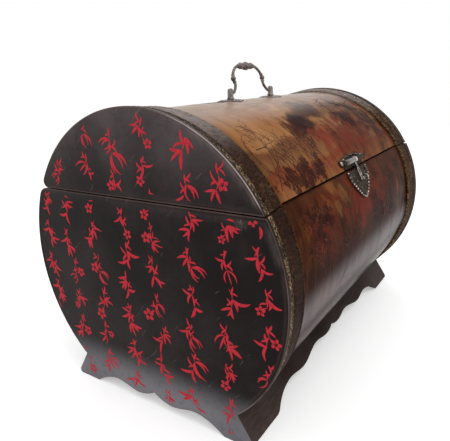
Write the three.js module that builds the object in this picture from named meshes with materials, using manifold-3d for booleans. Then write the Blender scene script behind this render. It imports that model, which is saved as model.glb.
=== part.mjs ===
// A wooden box shaped like a barrel on its side, split along its length into a body and a hinged lid.
// Millimetres. X runs along the barrel, the latch faces -Y, the hinges are at +Y, Z is up from the feet.
// Leather covers both ends and the rims, and a painted wrap covers the wood between them.
import * as THREE from "three";
import { mergeVertices } from "three/addons/utils/BufferGeometryUtils.js";
import Module from "manifold-3d";

const wasm = await Module();
wasm.setup();

// Driving dimensions of the barrel
const boxLength = 360;
const rimRadius = 130; // the leather rim of the body
const lidStepIn = 2; // the lid is this much smaller in radius
const axisZ = 124; // height of the body's axis
const lidAxisZ = 126.9; // height of the lid's own axis
const splitZ = 185.5; // height of the cut between body and lid
const splitGap = 0.8;
const touchGap = 0.3; // between pieces that bear on each other

// Layers, from the outside in, as radii of the body
const bandRadius = 129;
const trimRadius = 129.9;
const panelRadius = 127.6;
const wrapRadius = 125.6;
const wrapThickness = 1;
const wallRadius = 124.3;
const wallThickness = 7;
const liningThickness = 1;

// Distances in from each end
const leatherThickness = 1.2;
const rimDepth = 1.8;
const panelStart = 1.5;
const panelEnd = 10.5;
const trimStart = 2.4;
const trimEnd = 8.4;
const bandShoulder = 12;
const bandEnd = 29;
const bandEndRadius = 126.8;
const bandEndBevel = 1;

// Rounding of the corners at the split, for the outermost layer
const rearCorner = 11;
const rearCornerTaper = 0.8; // how fast the rounding shrinks with the radius
const lidRearCorner = 5;
const lidCornerTaper = 0.386;
const frontCorner = 0.6;
const innerCorner = 0.3;

// Foot rails: boards that lean outwards towards the floor
const railFlare = 0.64; // sideways per unit of height
const railOuterFoot = 101; // where the outer face would meet the floor
const railInnerFoot = 91.5;
const railTop = 29.4;
const railFootInner = 142.5; // where a foot of the rail ends and its scallops begin
const floorTop = 29.4;
const floorThickness = 7.4;
const floorHalfWidth = 72;

// Hinges at the back
const hingeX = 110;
const hingeAxisY = 112.5;
const hingeAxisZ = 185.5;
const hingeWidth = 26;
const knuckleRadius = 2.6;
const hingePinRadius = 1.1;
const plateThickness = 1;

// Latch at the front
const latchAngle = 29.3; // degrees above the horizontal, where the plates meet
const latchPlateThickness = 1.2;
const latchHalfWidth = 25;
const bodyPlateHeight = 30;
const haspPivotY = -109.3;
const haspPivotZ = 193.3;
const haspKnuckleRadius = 3;
const haspPinRadius = 1.2;
const haspWidth = 4.8;
const haspLowAngle = 23.2;
const haspHighAngle = 31.5;
const haspStandoff = 0.5; // between the strap and the plate under it
const haspThickness = 1.2;
const forkSlot = 2.2;
const forkTopAngle = 28.2;
const earWidth = 20.6; // of the lid plate's knuckle on each side of the hasp
const stapleAngle = 24;
const stapleEyeRadius = 3;
const stapleHoleRadius = 1.6;
const stapleEyeHeight = 4.4;
const stapleWidth = 1.6;

// Handle on the crown
const postX = 40;
const pivotAboveCrown = 7;
const bailLean = 15; // degrees towards the back
const bailRise = 26; // from the pivot to the middle of the grip
const bailRodRadius = 1.45;
const bailPinRadius = 1.5;
const kneeRadius = 2.5;
const postRadius = 3.2;
const postCollarRadius = 3.9;
const postTopAbovePivot = 4.5;
const shankRadius = 1.7;
const shankDepth = 14.5; // below the crown
const nutRadius = 4.2;
const nutHeight = 3.2;
const rosetteHalfLength = 13.5;
const rosetteHalfWidth = 11.5;
const rosetteLobes = 8;
const rosetteLobeDepth = 0.07; // as a share of the half length and width
const rosetteThickness = 1.2;

const arcSteps = 13;
const lidArcSteps = 22;
const cornerSteps = 3;
const scallopSteps = 5;
const lobeSteps = 3;
const overcut = 5; // how far a cutter runs past what it cuts

const radians = THREE.MathUtils.degToRad;
const halfLength = boxLength / 2;
const bodyTop = splitZ - splitGap / 2;
const lidBottom = splitZ + splitGap / 2;
const crownZ = lidAxisZ + wrapRadius - lidStepIn;
const pivotZ = crownZ + pivotAboveCrown;

const looks = {
  leather: { color: 0x2a2422, roughness: 0.45, metalness: 0 },
  band: { color: 0x33271f, roughness: 0.5, metalness: 0 },
  trim: { color: 0xa8854a, roughness: 0.45, metalness: 0.3 },
  paint: { color: 0xb07c38, roughness: 0.35, metalness: 0 },
  wood: { color: 0x8a6238, roughness: 0.6, metalness: 0 },
  lining: { color: 0x6e1f1a, roughness: 0.8, metalness: 0 },
  bronze: { color: 0x6b6454, roughness: 0.4, metalness: 0.9 },
  brass: { color: 0xa88e58, roughness: 0.35, metalness: 0.9 },
};

// Solids

function solidFrom(geometry) {
  const bare = geometry.clone();
  bare.deleteAttribute("normal");
  bare.deleteAttribute("uv");
  const merged = mergeVertices(bare, 1e-4);
  return new wasm.Manifold(
    new wasm.Mesh({
      numProp: 3,
      vertProperties: merged.attributes.position.array,
      triVerts: new Uint32Array(merged.index.array),
    }),
  );
}

function geometryFrom(solid) {
  const mesh = solid.getMesh();
  const geometry = new THREE.BufferGeometry();
  geometry.setAttribute("position", new THREE.BufferAttribute(mesh.vertProperties, 3));
  geometry.setIndex(new THREE.BufferAttribute(mesh.triVerts, 1));
  return geometry;
}

const joined = (geometries) =>
  geometryFrom(geometries.map(solidFrom).reduce((whole, piece) => whole.add(piece)));

const cutBy = (geometry, cutters) =>
  geometryFrom(
    cutters.map(solidFrom).reduce((whole, cutter) => whole.subtract(cutter), solidFrom(geometry)),
  );

const commonTo = (first, second) => geometryFrom(solidFrom(first).intersect(solidFrom(second)));

// Extrudes an outline of [first, second] points: local axes go to the three world axes given.
function extruded(outline, from, to, axes) {
  const shape = new THREE.Shape(outline.map(([a, b]) => new THREE.Vector2(a, b)));
  const geometry = new THREE.ExtrudeGeometry(shape, { depth: to - from, bevelEnabled: false });
  const place = new THREE.Matrix4().makeBasis(...axes);
  place.setPosition(axes[2].clone().multiplyScalar(from));
  return geometry.applyMatrix4(place);
}

const unitX = new THREE.Vector3(1, 0, 0);
const unitY = new THREE.Vector3(0, 1, 0);
const unitZ = new THREE.Vector3(0, 0, 1);

// An outline in (y, z), extruded from one x to another
const alongX = (outline, from, to) => extruded(outline, from, to, [unitY, unitZ, unitX]);

// An outline in (x, z), extruded over the whole depth of the box
const alongY = (outline, from, to) =>
  extruded(outline, -to, -from, [unitX, unitZ, unitY.clone().negate()]);

// A round bar between two points
function bar(start, end, radius, sides = 12) {
  const length = start.distanceTo(end);
  const geometry = new THREE.CylinderGeometry(radius, radius, length, sides);
  const turn = new THREE.Quaternion().setFromUnitVectors(unitY, end.clone().sub(start).normalize());
  geometry.applyQuaternion(turn);
  const middle = start.clone().add(end).multiplyScalar(0.5);
  return geometry.translate(middle.x, middle.y, middle.z);
}

// Sweeps a closed profile of [x, radius] points along the outline that each radius has in (y, z).
function barrelSweep(profile, outlineAt) {
  const rings = profile.map(([, radius]) => outlineAt(radius));
  const steps = rings[0].length;
  const positions = [];
  rings.forEach((ring, i) => ring.forEach(([y, z]) => positions.push(profile[i][0], y, z)));
  const index = [];
  for (let i = 0; i < profile.length; i++) {
    const next = (i + 1) % profile.length;
    for (let j = 0; j + 1 < steps; j++) {
      const a = i * steps + j;
      const b = next * steps + j;
      index.push(a, b, b + 1, a, b + 1, a + 1);
    }
  }
  const flat = profile.map(([x, radius]) => new THREE.Vector2(x, radius));
  const last = steps - 1;
  const turned = THREE.ShapeUtils.isClockWise(flat);
  for (const [a, b, c] of THREE.ShapeUtils.triangulateShape(flat, [])) {
    const cap = turned ? [c, b, a] : [a, b, c];
    index.push(cap[2] * steps, cap[1] * steps, cap[0] * steps);
    index.push(cap[0] * steps + last, cap[1] * steps + last, cap[2] * steps + last);
  }
  const geometry = new THREE.BufferGeometry();
  geometry.setAttribute("position", new THREE.Float32BufferAttribute(positions, 3));
  geometry.setIndex(index);
  return facingOut(geometry);
}

// Turns every triangle round if the closed surface encloses a negative volume.
function facingOut(geometry) {
  const index = geometry.index.array;
  const corner = new THREE.Vector3();
  const second = new THREE.Vector3();
  const third = new THREE.Vector3();
  const position = geometry.attributes.position;
  let volume = 0;
  for (let i = 0; i < index.length; i += 3) {
    corner.fromBufferAttribute(position, index[i]);
    second.fromBufferAttribute(position, index[i + 1]);
    third.fromBufferAttribute(position, index[i + 2]);
    volume += corner.dot(second.cross(third));
  }
  if (volume < 0) {
    for (let i = 0; i < index.length; i += 3) {
      [index[i + 1], index[i + 2]] = [index[i + 2], index[i + 1]];
    }
  }
  return geometry;
}

// Outlines in (y, z)

function arc(centreY, centreZ, radius, from, to, steps) {
  return Array.from({ length: steps + 1 }, (_, i) => {
    const angle = from + ((to - from) * i) / steps;
    return [centreY + radius * Math.cos(angle), centreZ + radius * Math.sin(angle)];
  });
}

const onCircle = (centreZ, radius, angle) => [
  radius * Math.cos(angle),
  centreZ + radius * Math.sin(angle),
];

const mirrored = (outline) => outline.map(([y, z]) => [-y, z]);
const reversed = (outline) => [...outline].reverse();

// The angle at which a circle about the body's axis meets a foot line y = foot - flare * z
function angleAtFootLine(radius, foot) {
  const reach = (foot - railFlare * axisZ) / (radius * Math.hypot(1, railFlare));
  return Math.atan(railFlare) - Math.acos(reach);
}

const angleAtHeight = (radius, z) => Math.asin((z - axisZ) / radius);

// One side of the body: up a circle from a start angle, then round the corner at the split.
function bodySide(radius, corner, start, top) {
  const height = top - corner - axisZ;
  const reach = radius - corner;
  const tangent = Math.asin(height / reach);
  return [
    ...arc(0, axisZ, radius, start, tangent, arcSteps),
    ...arc(reach * Math.cos(tangent), axisZ + height, corner, tangent, Math.PI / 2, cornerSteps).slice(1),
  ];
}

const bodyRearCorner = (radius) => rearCorner - rearCornerTaper * (rimRadius - radius);

// The lid: round its rear corner, over the crown and round its front corner.
function lidArch(radius, bottom, rearRounding, frontRounding) {
  const corners = [rearRounding, frontRounding].map((rounding) => {
    const height = bottom + rounding - lidAxisZ;
    const tangent = Math.asin(height / (radius - rounding));
    return { rounding, tangent, y: (radius - rounding) * Math.cos(tangent), z: lidAxisZ + height };
  });
  const [rear, front] = corners;
  const quarter = Math.PI / 2;
  return [
    ...arc(rear.y, rear.z, rear.rounding, -quarter, rear.tangent, cornerSteps),
    ...arc(0, lidAxisZ, radius, rear.tangent, Math.PI - front.tangent, lidArcSteps).slice(1, -1),
    ...arc(-front.y, front.z, front.rounding, Math.PI - front.tangent, Math.PI + quarter, cornerSteps),
  ];
}

const lidRearRounding = (bodyRadius) =>
  lidRearCorner - lidCornerTaper * (rimRadius - bodyRadius);

// A layer of the lid is named by the radius that the same layer has on the body.
const lidLayer = (bodyRadius, bottom = lidBottom) =>
  lidArch(bodyRadius - lidStepIn, bottom, lidRearRounding(bodyRadius), frontCorner);

const lidInside = (bodyRadius, bottom) =>
  lidArch(bodyRadius - lidStepIn, bottom, innerCorner, innerCorner);

// Scalloped lower edges, from the foot to the middle

// End panels, in (y, z): up from the foot over one hump, down to a low wave and up to a point
function endScallop() {
  const edge = new THREE.Path();
  edge.moveTo(72, 0);
  edge.quadraticCurveTo(59, 9.5, 46, 11);
  edge.bezierCurveTo(36, 11.2, 28, 6.6, 19, 6.3);
  edge.quadraticCurveTo(9, 7.2, 0, 13);
  return edge.getPoints(scallopSteps).map((p) => [p.x, p.y]);
}

// Foot rails, in (x, z): the same, with two humps
function railScallop() {
  const edge = new THREE.Path();
  edge.moveTo(railFootInner, 0);
  edge.quadraticCurveTo(138.6, 0.1, 136.4, 2.7);
  edge.quadraticCurveTo(122, 12.4, 103, 13.2);
  edge.bezierCurveTo(94, 13.6, 87, 11.2, 78, 11);
  edge.bezierCurveTo(65, 10.8, 54, 15.6, 41, 15.8);
  edge.bezierCurveTo(32, 16, 26, 13.7, 18, 13.6);
  edge.quadraticCurveTo(7, 13.2, 0, 16);
  return edge.getPoints(scallopSteps).map((p) => [p.x, p.y]);
}

// Outer outline of a rail's foot, from the outer face round the toe to the floor
const toe = [
  [97.9, 4.8],
  [98.4, 2.8],
  [97.8, 0.9],
  [96.1, 0],
];

// An outline that is the same on both sides, from its half at +Y, which runs upwards to the split
const bothSides = (rear, front) => [...rear, ...reversed(mirrored(front))];

const box = new THREE.Group();
box.name = "barrel_box";

function addPart(name, geometry, look, group = box) {
  const mesh = new THREE.Mesh(geometry, new THREE.MeshStandardMaterial(look));
  mesh.name = name;
  group.add(mesh);
}

// From a distance in from the end to x, on the left end (-1) or the right end (1)
const inFrom = (side, distance) => side * (halfLength - distance);

function betweenEnds(side, near, far) {
  const edges = [inFrom(side, near), inFrom(side, far)];
  return [Math.min(...edges), Math.max(...edges)];
}

// Nails: a domed head on a shank that goes through the plate into the wood

const nailShank = 0.8;
const nailLength = 7;
const nailHead = 2;
const nailHeadHeight = 1.7;
const nailSides = 8;

function nailAxis(x, centreZ, radius, angle, side) {
  const outward = new THREE.Vector3(0, side * Math.cos(angle), Math.sin(angle));
  const foot = outward.clone().multiplyScalar(radius).add(new THREE.Vector3(x, 0, centreZ));
  return { foot, outward };
}

function nail({ foot, outward }) {
  const profile = [
    [0, -nailLength],
    [nailShank, -nailLength],
    [nailShank, touchGap],
    [nailHead, touchGap],
    [nailHead * 0.75, nailHeadHeight * 0.7],
    [0, nailHeadHeight],
  ].map(([r, h]) => new THREE.Vector2(r, h));
  const geometry = new THREE.LatheGeometry(profile, nailSides);
  geometry.applyQuaternion(new THREE.Quaternion().setFromUnitVectors(unitY, outward));
  return geometry.translate(foot.x, foot.y, foot.z);
}

function addNails(name, axes) {
  axes.forEach((axis, i) => addPart(`${name}_${i + 1}`, nail(axis), looks.brass));
}

const nailHole = ({ foot, outward }) =>
  bar(
    foot.clone().addScaledVector(outward, -nailLength - touchGap),
    foot.clone().addScaledVector(outward, overcut),
    nailShank + touchGap,
    nailSides,
  );

// A thin plate bent on to the barrel: a flat outline in (x, up the surface) pushed through a curved layer
function bentPlate(outline, centreZ, innerRadius, thickness, side, angle, halfWidth) {
  const up = new THREE.Vector3(0, -side * Math.sin(angle), Math.cos(angle));
  const outward = new THREE.Vector3(0, side * Math.cos(angle), Math.sin(angle));
  const across = up.clone().cross(outward);
  const reach = 12; // the plate falls away from its middle by less than this
  const spread = 0.45; // half the angle of the curved layer
  const prism = extruded(outline, innerRadius - reach, innerRadius + reach, [across, up, outward]);
  prism.translate(0, 0, centreZ);
  const curve = [
    ...arc(0, centreZ, innerRadius + thickness, angle - spread, angle + spread, 16),
    ...arc(0, centreZ, innerRadius, angle + spread, angle - spread, 16),
  ];
  return commonTo(prism, alongX(side > 0 ? curve : mirrored(curve), -halfWidth, halfWidth));
}

// Fasteners of the plates

const hingeBodyRadius = wrapRadius + touchGap + plateThickness;
const hingeLidRadius = wrapRadius - lidStepIn + touchGap + plateThickness;
const latchBodyRadius = wrapRadius + touchGap + latchPlateThickness;
const latchLidRadius = latchBodyRadius - lidStepIn;

const hingeNailOffset = 8;
const hingeBodyNailAngle = radians(21.5);
const hingeLidNailAngle = radians(37.5);
const latchLidNailX = 26.2;
const latchLidNailAngle = radians(latchAngle + 2.6);
const shieldNailX = 21.5;
const shieldUpperNailAngle = radians(latchAngle - 2.5);
const shieldLowerNailAngle = radians(latchAngle - 11.9);

const hingeBodyNails = [];
const hingeLidNails = [];
for (const side of [-1, 1]) {
  for (const offset of [-hingeNailOffset, hingeNailOffset]) {
    hingeBodyNails.push(
      nailAxis(side * hingeX + offset, axisZ, hingeBodyRadius, hingeBodyNailAngle, 1),
    );
  }
  hingeLidNails.push(nailAxis(side * hingeX, lidAxisZ, hingeLidRadius, hingeLidNailAngle, 1));
}
const latchLidNails = [-latchLidNailX, latchLidNailX].map((x) =>
  nailAxis(x, lidAxisZ, latchLidRadius, latchLidNailAngle, -1),
);
const latchBodyNails = [
  nailAxis(-shieldNailX, axisZ, latchBodyRadius, shieldUpperNailAngle, -1),
  nailAxis(shieldNailX, axisZ, latchBodyRadius, shieldUpperNailAngle, -1),
  nailAxis(0, axisZ, latchBodyRadius, shieldLowerNailAngle, -1),
];

const stapleAxis = nailAxis(0, axisZ, latchBodyRadius, radians(stapleAngle), -1);
const postHoles = [-1, 1].map((side) =>
  bar(
    new THREE.Vector3(side * postX, 0, crownZ - shankDepth - overcut),
    new THREE.Vector3(side * postX, 0, crownZ + overcut),
    shankRadius + touchGap,
    10,
  ),
);

// Body walls and wraps, on both long sides

const panelInside = halfLength - panelEnd - touchGap;
const wallBottom = railTop + touchGap;
const wallTop = bodyTop - wrapThickness - touchGap;

function bodyWall(side) {
  const corner = side > 0 ? bodyRearCorner(wallRadius) : frontCorner;
  const innerRadius = wallRadius - wallThickness;
  const section = [
    ...bodySide(wallRadius, corner, angleAtHeight(wallRadius, wallBottom), wallTop),
    ...reversed(
      bodySide(innerRadius, innerCorner, angleAtHeight(innerRadius, wallBottom), wallTop),
    ),
  ];
  return alongX(side > 0 ? section : mirrored(section), -panelInside, panelInside);
}

function bodyWrap(side) {
  const inner = wrapRadius - wrapThickness;
  const corner = (radius) => (side > 0 ? bodyRearCorner(radius) : frontCorner);
  const section = [
    ...bodySide(wrapRadius, corner(wrapRadius), angleAtHeight(wrapRadius, wallBottom), bodyTop),
    ...reversed(
      bodySide(inner, corner(inner), angleAtHeight(inner, wallBottom), bodyTop - wrapThickness),
    ),
  ];
  return alongX(side > 0 ? section : mirrored(section), -panelInside, panelInside);
}

const frontHoles = [...latchBodyNails, stapleAxis].map(nailHole);
const rearHoles = hingeBodyNails.map(nailHole);
addPart("front_wall", cutBy(bodyWall(-1), frontHoles), looks.wood);
addPart("rear_wall", cutBy(bodyWall(1), rearHoles), looks.wood);
addPart("front_wrap", cutBy(bodyWrap(-1), frontHoles), looks.paint);
addPart("rear_wrap", cutBy(bodyWrap(1), rearHoles), looks.paint);

// Floor board

addPart(
  "floor_board",
  alongX(
    [
      [-floorHalfWidth, floorTop - floorThickness],
      [floorHalfWidth, floorTop - floorThickness],
      [floorHalfWidth, floorTop],
      [-floorHalfWidth, floorTop],
    ],
    -panelInside,
    panelInside,
  ),
  looks.wood,
);

// Foot rails: full length, cut round the end panels and scalloped below

function footRail(side) {
  const section = [
    [railInnerFoot - railFlare * railTop, railTop],
    [railOuterFoot - railFlare * railTop, railTop],
    ...toe,
    [railInnerFoot, 0],
  ];
  const length = halfLength - panelStart;
  const rail = alongX(side > 0 ? section : mirrored(section), -length, length);
  const scallop = railScallop();
  const below = [...scallop, ...reversed(scallop).slice(1).map(([x, z]) => [-x, z])];
  const cutters = [
    alongY([...below, [-railFootInner, -overcut], [railFootInner, -overcut]], -rimRadius, rimRadius),
  ];
  for (const end of [-1, 1]) {
    const [from, to] = betweenEnds(end, -overcut, panelEnd + 2 * touchGap);
    cutters.push(
      bar(
        new THREE.Vector3(from, 0, axisZ),
        new THREE.Vector3(to, 0, axisZ),
        panelRadius + touchGap,
        90,
      ),
    );
  }
  return cutBy(rail, cutters);
}

addPart("front_foot_rail", footRail(-1), looks.leather);
addPart("rear_foot_rail", footRail(1), looks.leather);

// End panels of wood, between the rails, and the leather over them

function bodyEndOutline(radius, foot, top, sideFoot) {
  const start = angleAtFootLine(radius, foot);
  const rear = bodySide(radius, bodyRearCorner(radius), start, top);
  const front = bodySide(radius, frontCorner, start, top);
  const scallop = endScallop();
  const feet = [...sideFoot, ...scallop];
  return [
    ...rear,
    ...reversed(mirrored(front)),
    ...mirrored(feet),
    ...reversed(feet).slice(1),
  ];
}

const panelFoot = railInnerFoot - touchGap;
const panelOutline = bodyEndOutline(panelRadius, panelFoot, bodyTop - touchGap, [[panelFoot, 0]]);
const leatherOutline = bodyEndOutline(rimRadius, railOuterFoot, bodyTop, toe);

const bodyRim = (radius) => (side) =>
  bodySide(
    radius,
    side > 0 ? bodyRearCorner(radius) : frontCorner,
    angleAtFootLine(radius, railOuterFoot + touchGap),
    bodyTop,
  );

// A strip round one side of the body or over the lid, from a profile in (distance from the end, radius)
function bodyStrip(profile, end, side) {
  const outlineAt = (radius) => {
    const outline = bodyRim(radius)(side);
    return side > 0 ? outline : mirrored(outline);
  };
  return barrelSweep(
    profile.map(([distance, radius]) => [inFrom(end, distance), radius]),
    outlineAt,
  );
}

const lidStrip = (profile, end) =>
  barrelSweep(
    profile.map(([distance, radius]) => [inFrom(end, distance), radius]),
    (radius) => lidLayer(radius),
  );

// The leather is turned over the end panel's edge: inside its rim is room for the panel, open at the feet.
function bodyLeatherRoom() {
  const inside = panelRadius + touchGap;
  const foot = railOuterFoot + touchGap;
  const half = (corner) => {
    const side = bodySide(inside, corner, angleAtFootLine(inside, foot), bodyTop);
    const [topY] = side[side.length - 1];
    const outside = rimRadius + overcut;
    return [
      [outside, -overcut],
      onCircle(axisZ, outside, angleAtFootLine(outside, foot)),
      ...side,
      [topY, bodyTop + overcut],
    ];
  };
  return bothSides(half(bodyRearCorner(inside)), half(frontCorner));
}

function lidLeatherRoom() {
  const arch = lidLayer(panelRadius + touchGap);
  const below = lidBottom - overcut;
  return [[arch[0][0], below], ...arch, [arch[arch.length - 1][0], below]];
}

function endLeather(outline, room, end) {
  return cutBy(alongX(outline, ...betweenEnds(end, 0, rimDepth)), [
    alongX(room, ...betweenEnds(end, leatherThickness, rimDepth + overcut)),
  ]);
}

const bandProfile = [
  [rimDepth + touchGap, panelRadius + touchGap],
  [rimDepth + touchGap, bandRadius],
  [bandShoulder, bandRadius],
  [bandEnd - bandEndBevel, bandEndRadius],
  [bandEnd, bandEndRadius - bandEndBevel / 2],
  [bandEnd, wrapRadius + touchGap],
  [panelEnd + 2 * touchGap, wrapRadius + touchGap],
  [panelEnd + 2 * touchGap, panelRadius + touchGap],
];

const trimProfile = [
  [trimStart, bandRadius + touchGap],
  [trimStart, trimRadius],
  [trimEnd, trimRadius],
  [trimEnd, bandRadius + touchGap],
];

const ends = { left: -1, right: 1 };

for (const [name, end] of Object.entries(ends)) {
  addPart(
    `${name}_end_panel`,
    alongX(panelOutline, ...betweenEnds(end, panelStart, panelEnd)),
    looks.wood,
  );
  addPart(
    `${name}_end_leather`,
    endLeather(leatherOutline, bodyLeatherRoom(), end),
    looks.leather,
  );
  for (const [place, side] of [
    ["rear", 1],
    ["front", -1],
  ]) {
    addPart(`${name}_${place}_band`, bodyStrip(bandProfile, end, side), looks.band);
    addPart(`${name}_${place}_trim`, bodyStrip(trimProfile, end, side), looks.trim);
  }
}

// Lining of the body: a thin tray on the floor, the walls and the ends

const liningOutside = wallRadius - wallThickness - touchGap;
const liningFloor = floorTop + touchGap;
const liningEnd = panelInside - touchGap;

function trayOutline(radius, bottom, top) {
  const half = arc(0, axisZ, radius, angleAtHeight(radius, bottom), angleAtHeight(radius, top), arcSteps);
  return bothSides(half, half);
}

addPart(
  "body_lining",
  cutBy(alongX(trayOutline(liningOutside, liningFloor, wallTop), -liningEnd, liningEnd), [
    alongX(
      trayOutline(liningOutside - liningThickness, liningFloor + liningThickness, wallTop + overcut),
      -liningEnd + liningThickness,
      liningEnd - liningThickness,
    ),
  ]),
  looks.lining,
);

// Lid: shell, wrap, end panels, leather, bands, trims and lining

const shellBottom = lidBottom + wrapThickness + touchGap;
const lidHoles = [...hingeLidNails, ...latchLidNails].map(nailHole);

addPart(
  "lid_shell",
  cutBy(
    alongX(
      [
        ...lidLayer(wallRadius, shellBottom),
        ...reversed(lidInside(wallRadius - wallThickness, shellBottom)),
      ],
      -panelInside,
      panelInside,
    ),
    [...lidHoles, ...postHoles],
  ),
  looks.wood,
);

addPart(
  "lid_wrap",
  cutBy(
    alongX(
      [
        ...lidLayer(wrapRadius),
        ...reversed(lidLayer(wrapRadius - wrapThickness, lidBottom + wrapThickness)),
      ],
      -panelInside,
      panelInside,
    ),
    [...lidHoles, ...postHoles],
  ),
  looks.paint,
);

for (const [name, end] of Object.entries(ends)) {
  addPart(
    `lid_${name}_panel`,
    alongX(lidLayer(panelRadius, lidBottom + touchGap), ...betweenEnds(end, panelStart, panelEnd)),
    looks.wood,
  );
  addPart(
    `lid_${name}_leather`,
    endLeather(lidLayer(rimRadius), lidLeatherRoom(), end),
    looks.leather,
  );
  addPart(`lid_${name}_band`, lidStrip(bandProfile, end), looks.band);
  addPart(`lid_${name}_trim`, lidStrip(trimProfile, end), looks.trim);
}

addPart(
  "lid_lining",
  cutBy(alongX(lidInside(liningOutside, shellBottom), -liningEnd, liningEnd), [
    alongX(
      lidInside(liningOutside - liningThickness, shellBottom - overcut),
      -liningEnd + liningThickness,
      liningEnd - liningThickness,
    ),
    ...postHoles,
  ]),
  looks.lining,
);

// Hinges: a leaf on the body, a leaf on the lid and a pin, with the knuckles in the notch at the split

const hingeAxis = (x) => new THREE.Vector3(x, hingeAxisY, hingeAxisZ);

function knuckle(from, to) {
  return bar(hingeAxis(from), hingeAxis(to), knuckleRadius, 16);
}

// A leaf in section: a curved plate on the wrap and a straight tongue to the knuckle
function leafSection(centreZ, radius, low, high, tongueEnds) {
  const inner = radius - plateThickness;
  const plate = [
    ...arc(0, centreZ, radius, low, high, 6),
    ...arc(0, centreZ, inner, high, low, 6),
  ];
  const [start, end] = tongueEnds;
  const direction = new THREE.Vector2(end[0] - start[0], end[1] - start[1]).normalize();
  const [across, along] = [direction.y * plateThickness * 0.5, -direction.x * plateThickness * 0.5];
  const tongue = [
    [start[0] + across, start[1] + along],
    [end[0] + across, end[1] + along],
    [end[0] - across, end[1] - along],
    [start[0] - across, start[1] - along],
  ];
  return { plate, tongue };
}

function hingeLeaf({ plate, tongue }, x, knuckles, nails) {
  const half = hingeWidth / 2;
  const pieces = [alongX(plate, x - half, x + half)];
  for (const [from, to] of knuckles) {
    pieces.push(alongX(tongue, x + from, x + to));
    pieces.push(knuckle(x + from, x + to));
  }
  const bore = bar(
    hingeAxis(x - half - overcut),
    hingeAxis(x + half + overcut),
    hingePinRadius + touchGap,
    16,
  );
  return cutBy(joined(pieces), [bore, ...nails.map(nailHole)]);
}

const bodyPlateAngles = [radians(16.5), radians(26.5)];
const lidPlateAngles = [radians(33), radians(42)];

// Where each tongue leaves its plate, and where it ends inside the knuckle
const bodyTongue = [
  onCircle(axisZ, hingeBodyRadius - plateThickness / 2, radians(26)),
  [hingeAxisY + 1.6, hingeAxisZ - 1],
];
const lidTongue = [
  onCircle(lidAxisZ, hingeLidRadius - plateThickness / 2, radians(33.6)),
  [hingeAxisY + 0.3, hingeAxisZ + 1.8],
];
const bodyLeafSection = leafSection(axisZ, hingeBodyRadius, ...bodyPlateAngles, bodyTongue);
const lidLeafSection = leafSection(lidAxisZ, hingeLidRadius, ...lidPlateAngles, lidTongue);

const middleKnuckle = 5; // half the width of the lid's knuckle
const pinStand = 0.5; // how far a pin stands out of its knuckles
for (const [name, end] of Object.entries(ends)) {
  const x = end * hingeX;
  const half = hingeWidth / 2;
  const outer = [
    [-half, -middleKnuckle - touchGap],
    [middleKnuckle + touchGap, half],
  ];
  const near = ({ foot }) => Math.abs(foot.x - x) < hingeWidth;
  addPart(
    `${name}_hinge_body_leaf`,
    hingeLeaf(bodyLeafSection, x, outer, hingeBodyNails.filter(near)),
    looks.brass,
  );
  addPart(
    `${name}_hinge_lid_leaf`,
    hingeLeaf(lidLeafSection, x, [[-middleKnuckle, middleKnuckle]], hingeLidNails.filter(near)),
    looks.brass,
  );
  addPart(
    `${name}_hinge_pin`,
    bar(hingeAxis(x - half - pinStand), hingeAxis(x + half + pinStand), hingePinRadius, 16),
    looks.brass,
  );
}
addNails("hinge_body_nail", hingeBodyNails);
addNails("hinge_lid_nail", hingeLidNails);

// Latch: a plate on the lid that carries the hasp's knuckle, and a shield with a staple on the body

const plateFromSplit = 1.5; // how far the edge of each plate stays from the split

// The lid plate: a round lobe at each side, and a low point in the middle
function lobedPlate() {
  const edge = new THREE.Path();
  edge.moveTo(22.5, plateFromSplit);
  edge.quadraticCurveTo(22.8, 4, 25.5, 4.8);
  edge.quadraticCurveTo(29.2, 5.4, 29.1, 8.3);
  edge.quadraticCurveTo(28.8, 11.2, 25.4, 11);
  edge.quadraticCurveTo(20, 10.9, 15, 12.8);
  edge.quadraticCurveTo(10, 13.5, 6.5, 13);
  edge.quadraticCurveTo(3, 13.2, 0, 14.6);
  const right = edge.getPoints(lobeSteps).map((p) => [p.x, p.y]);
  return [...right, ...reversed(right).slice(1).map(([x, y]) => [-x, y])];
}

function shield() {
  const edge = new THREE.Path();
  edge.moveTo(latchHalfWidth, -plateFromSplit);
  edge.quadraticCurveTo(latchHalfWidth + 1.5, -9, latchHalfWidth - 5, -15);
  edge.bezierCurveTo(latchHalfWidth - 9, -19.5, 9, -28, 0, -bodyPlateHeight);
  const right = edge.getPoints(scallopSteps).map((p) => [p.x, p.y]);
  return [...reversed(right), ...right.slice(0, -1).map(([x, y]) => [-x, y])];
}

const haspAxis = (x) => new THREE.Vector3(x, haspPivotY, haspPivotZ);
const haspBar = (from, to, radius, sides = 16) => bar(haspAxis(from), haspAxis(to), radius, sides);
const haspHalf = haspWidth / 2;
const earEnd = haspHalf + earWidth;
const haspBore = haspBar(-earEnd - overcut, earEnd + overcut, haspPinRadius + touchGap);

// Room for the hasp's own knuckle to turn in the lid plate
const haspRelief = haspBar(-haspHalf - touchGap, haspHalf + touchGap, haspKnuckleRadius + touchGap);

const latchSeat = radians(latchAngle);
// The plates' outlines start at the split: this is how far it lies from the seat's own level
const raised = (outline, centreZ, radius) => {
  const offset = splitZ - centreZ - radius * Math.sin(latchSeat);
  return outline.map(([x, up]) => [x, up + offset / Math.cos(latchSeat)]);
};

const lidPlate = bentPlate(
  raised(lobedPlate(), lidAxisZ, latchLidRadius),
  lidAxisZ,
  latchLidRadius - latchPlateThickness,
  latchPlateThickness,
  -1,
  latchSeat,
  latchHalfWidth + overcut,
);
addPart(
  "latch_lid_plate",
  cutBy(
    joined([
      lidPlate,
      haspBar(-earEnd, -haspHalf - touchGap, haspKnuckleRadius),
      haspBar(haspHalf + touchGap, earEnd, haspKnuckleRadius),
    ]),
    [haspBore, haspRelief, ...latchLidNails.map(nailHole)],
  ),
  looks.bronze,
);

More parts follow.
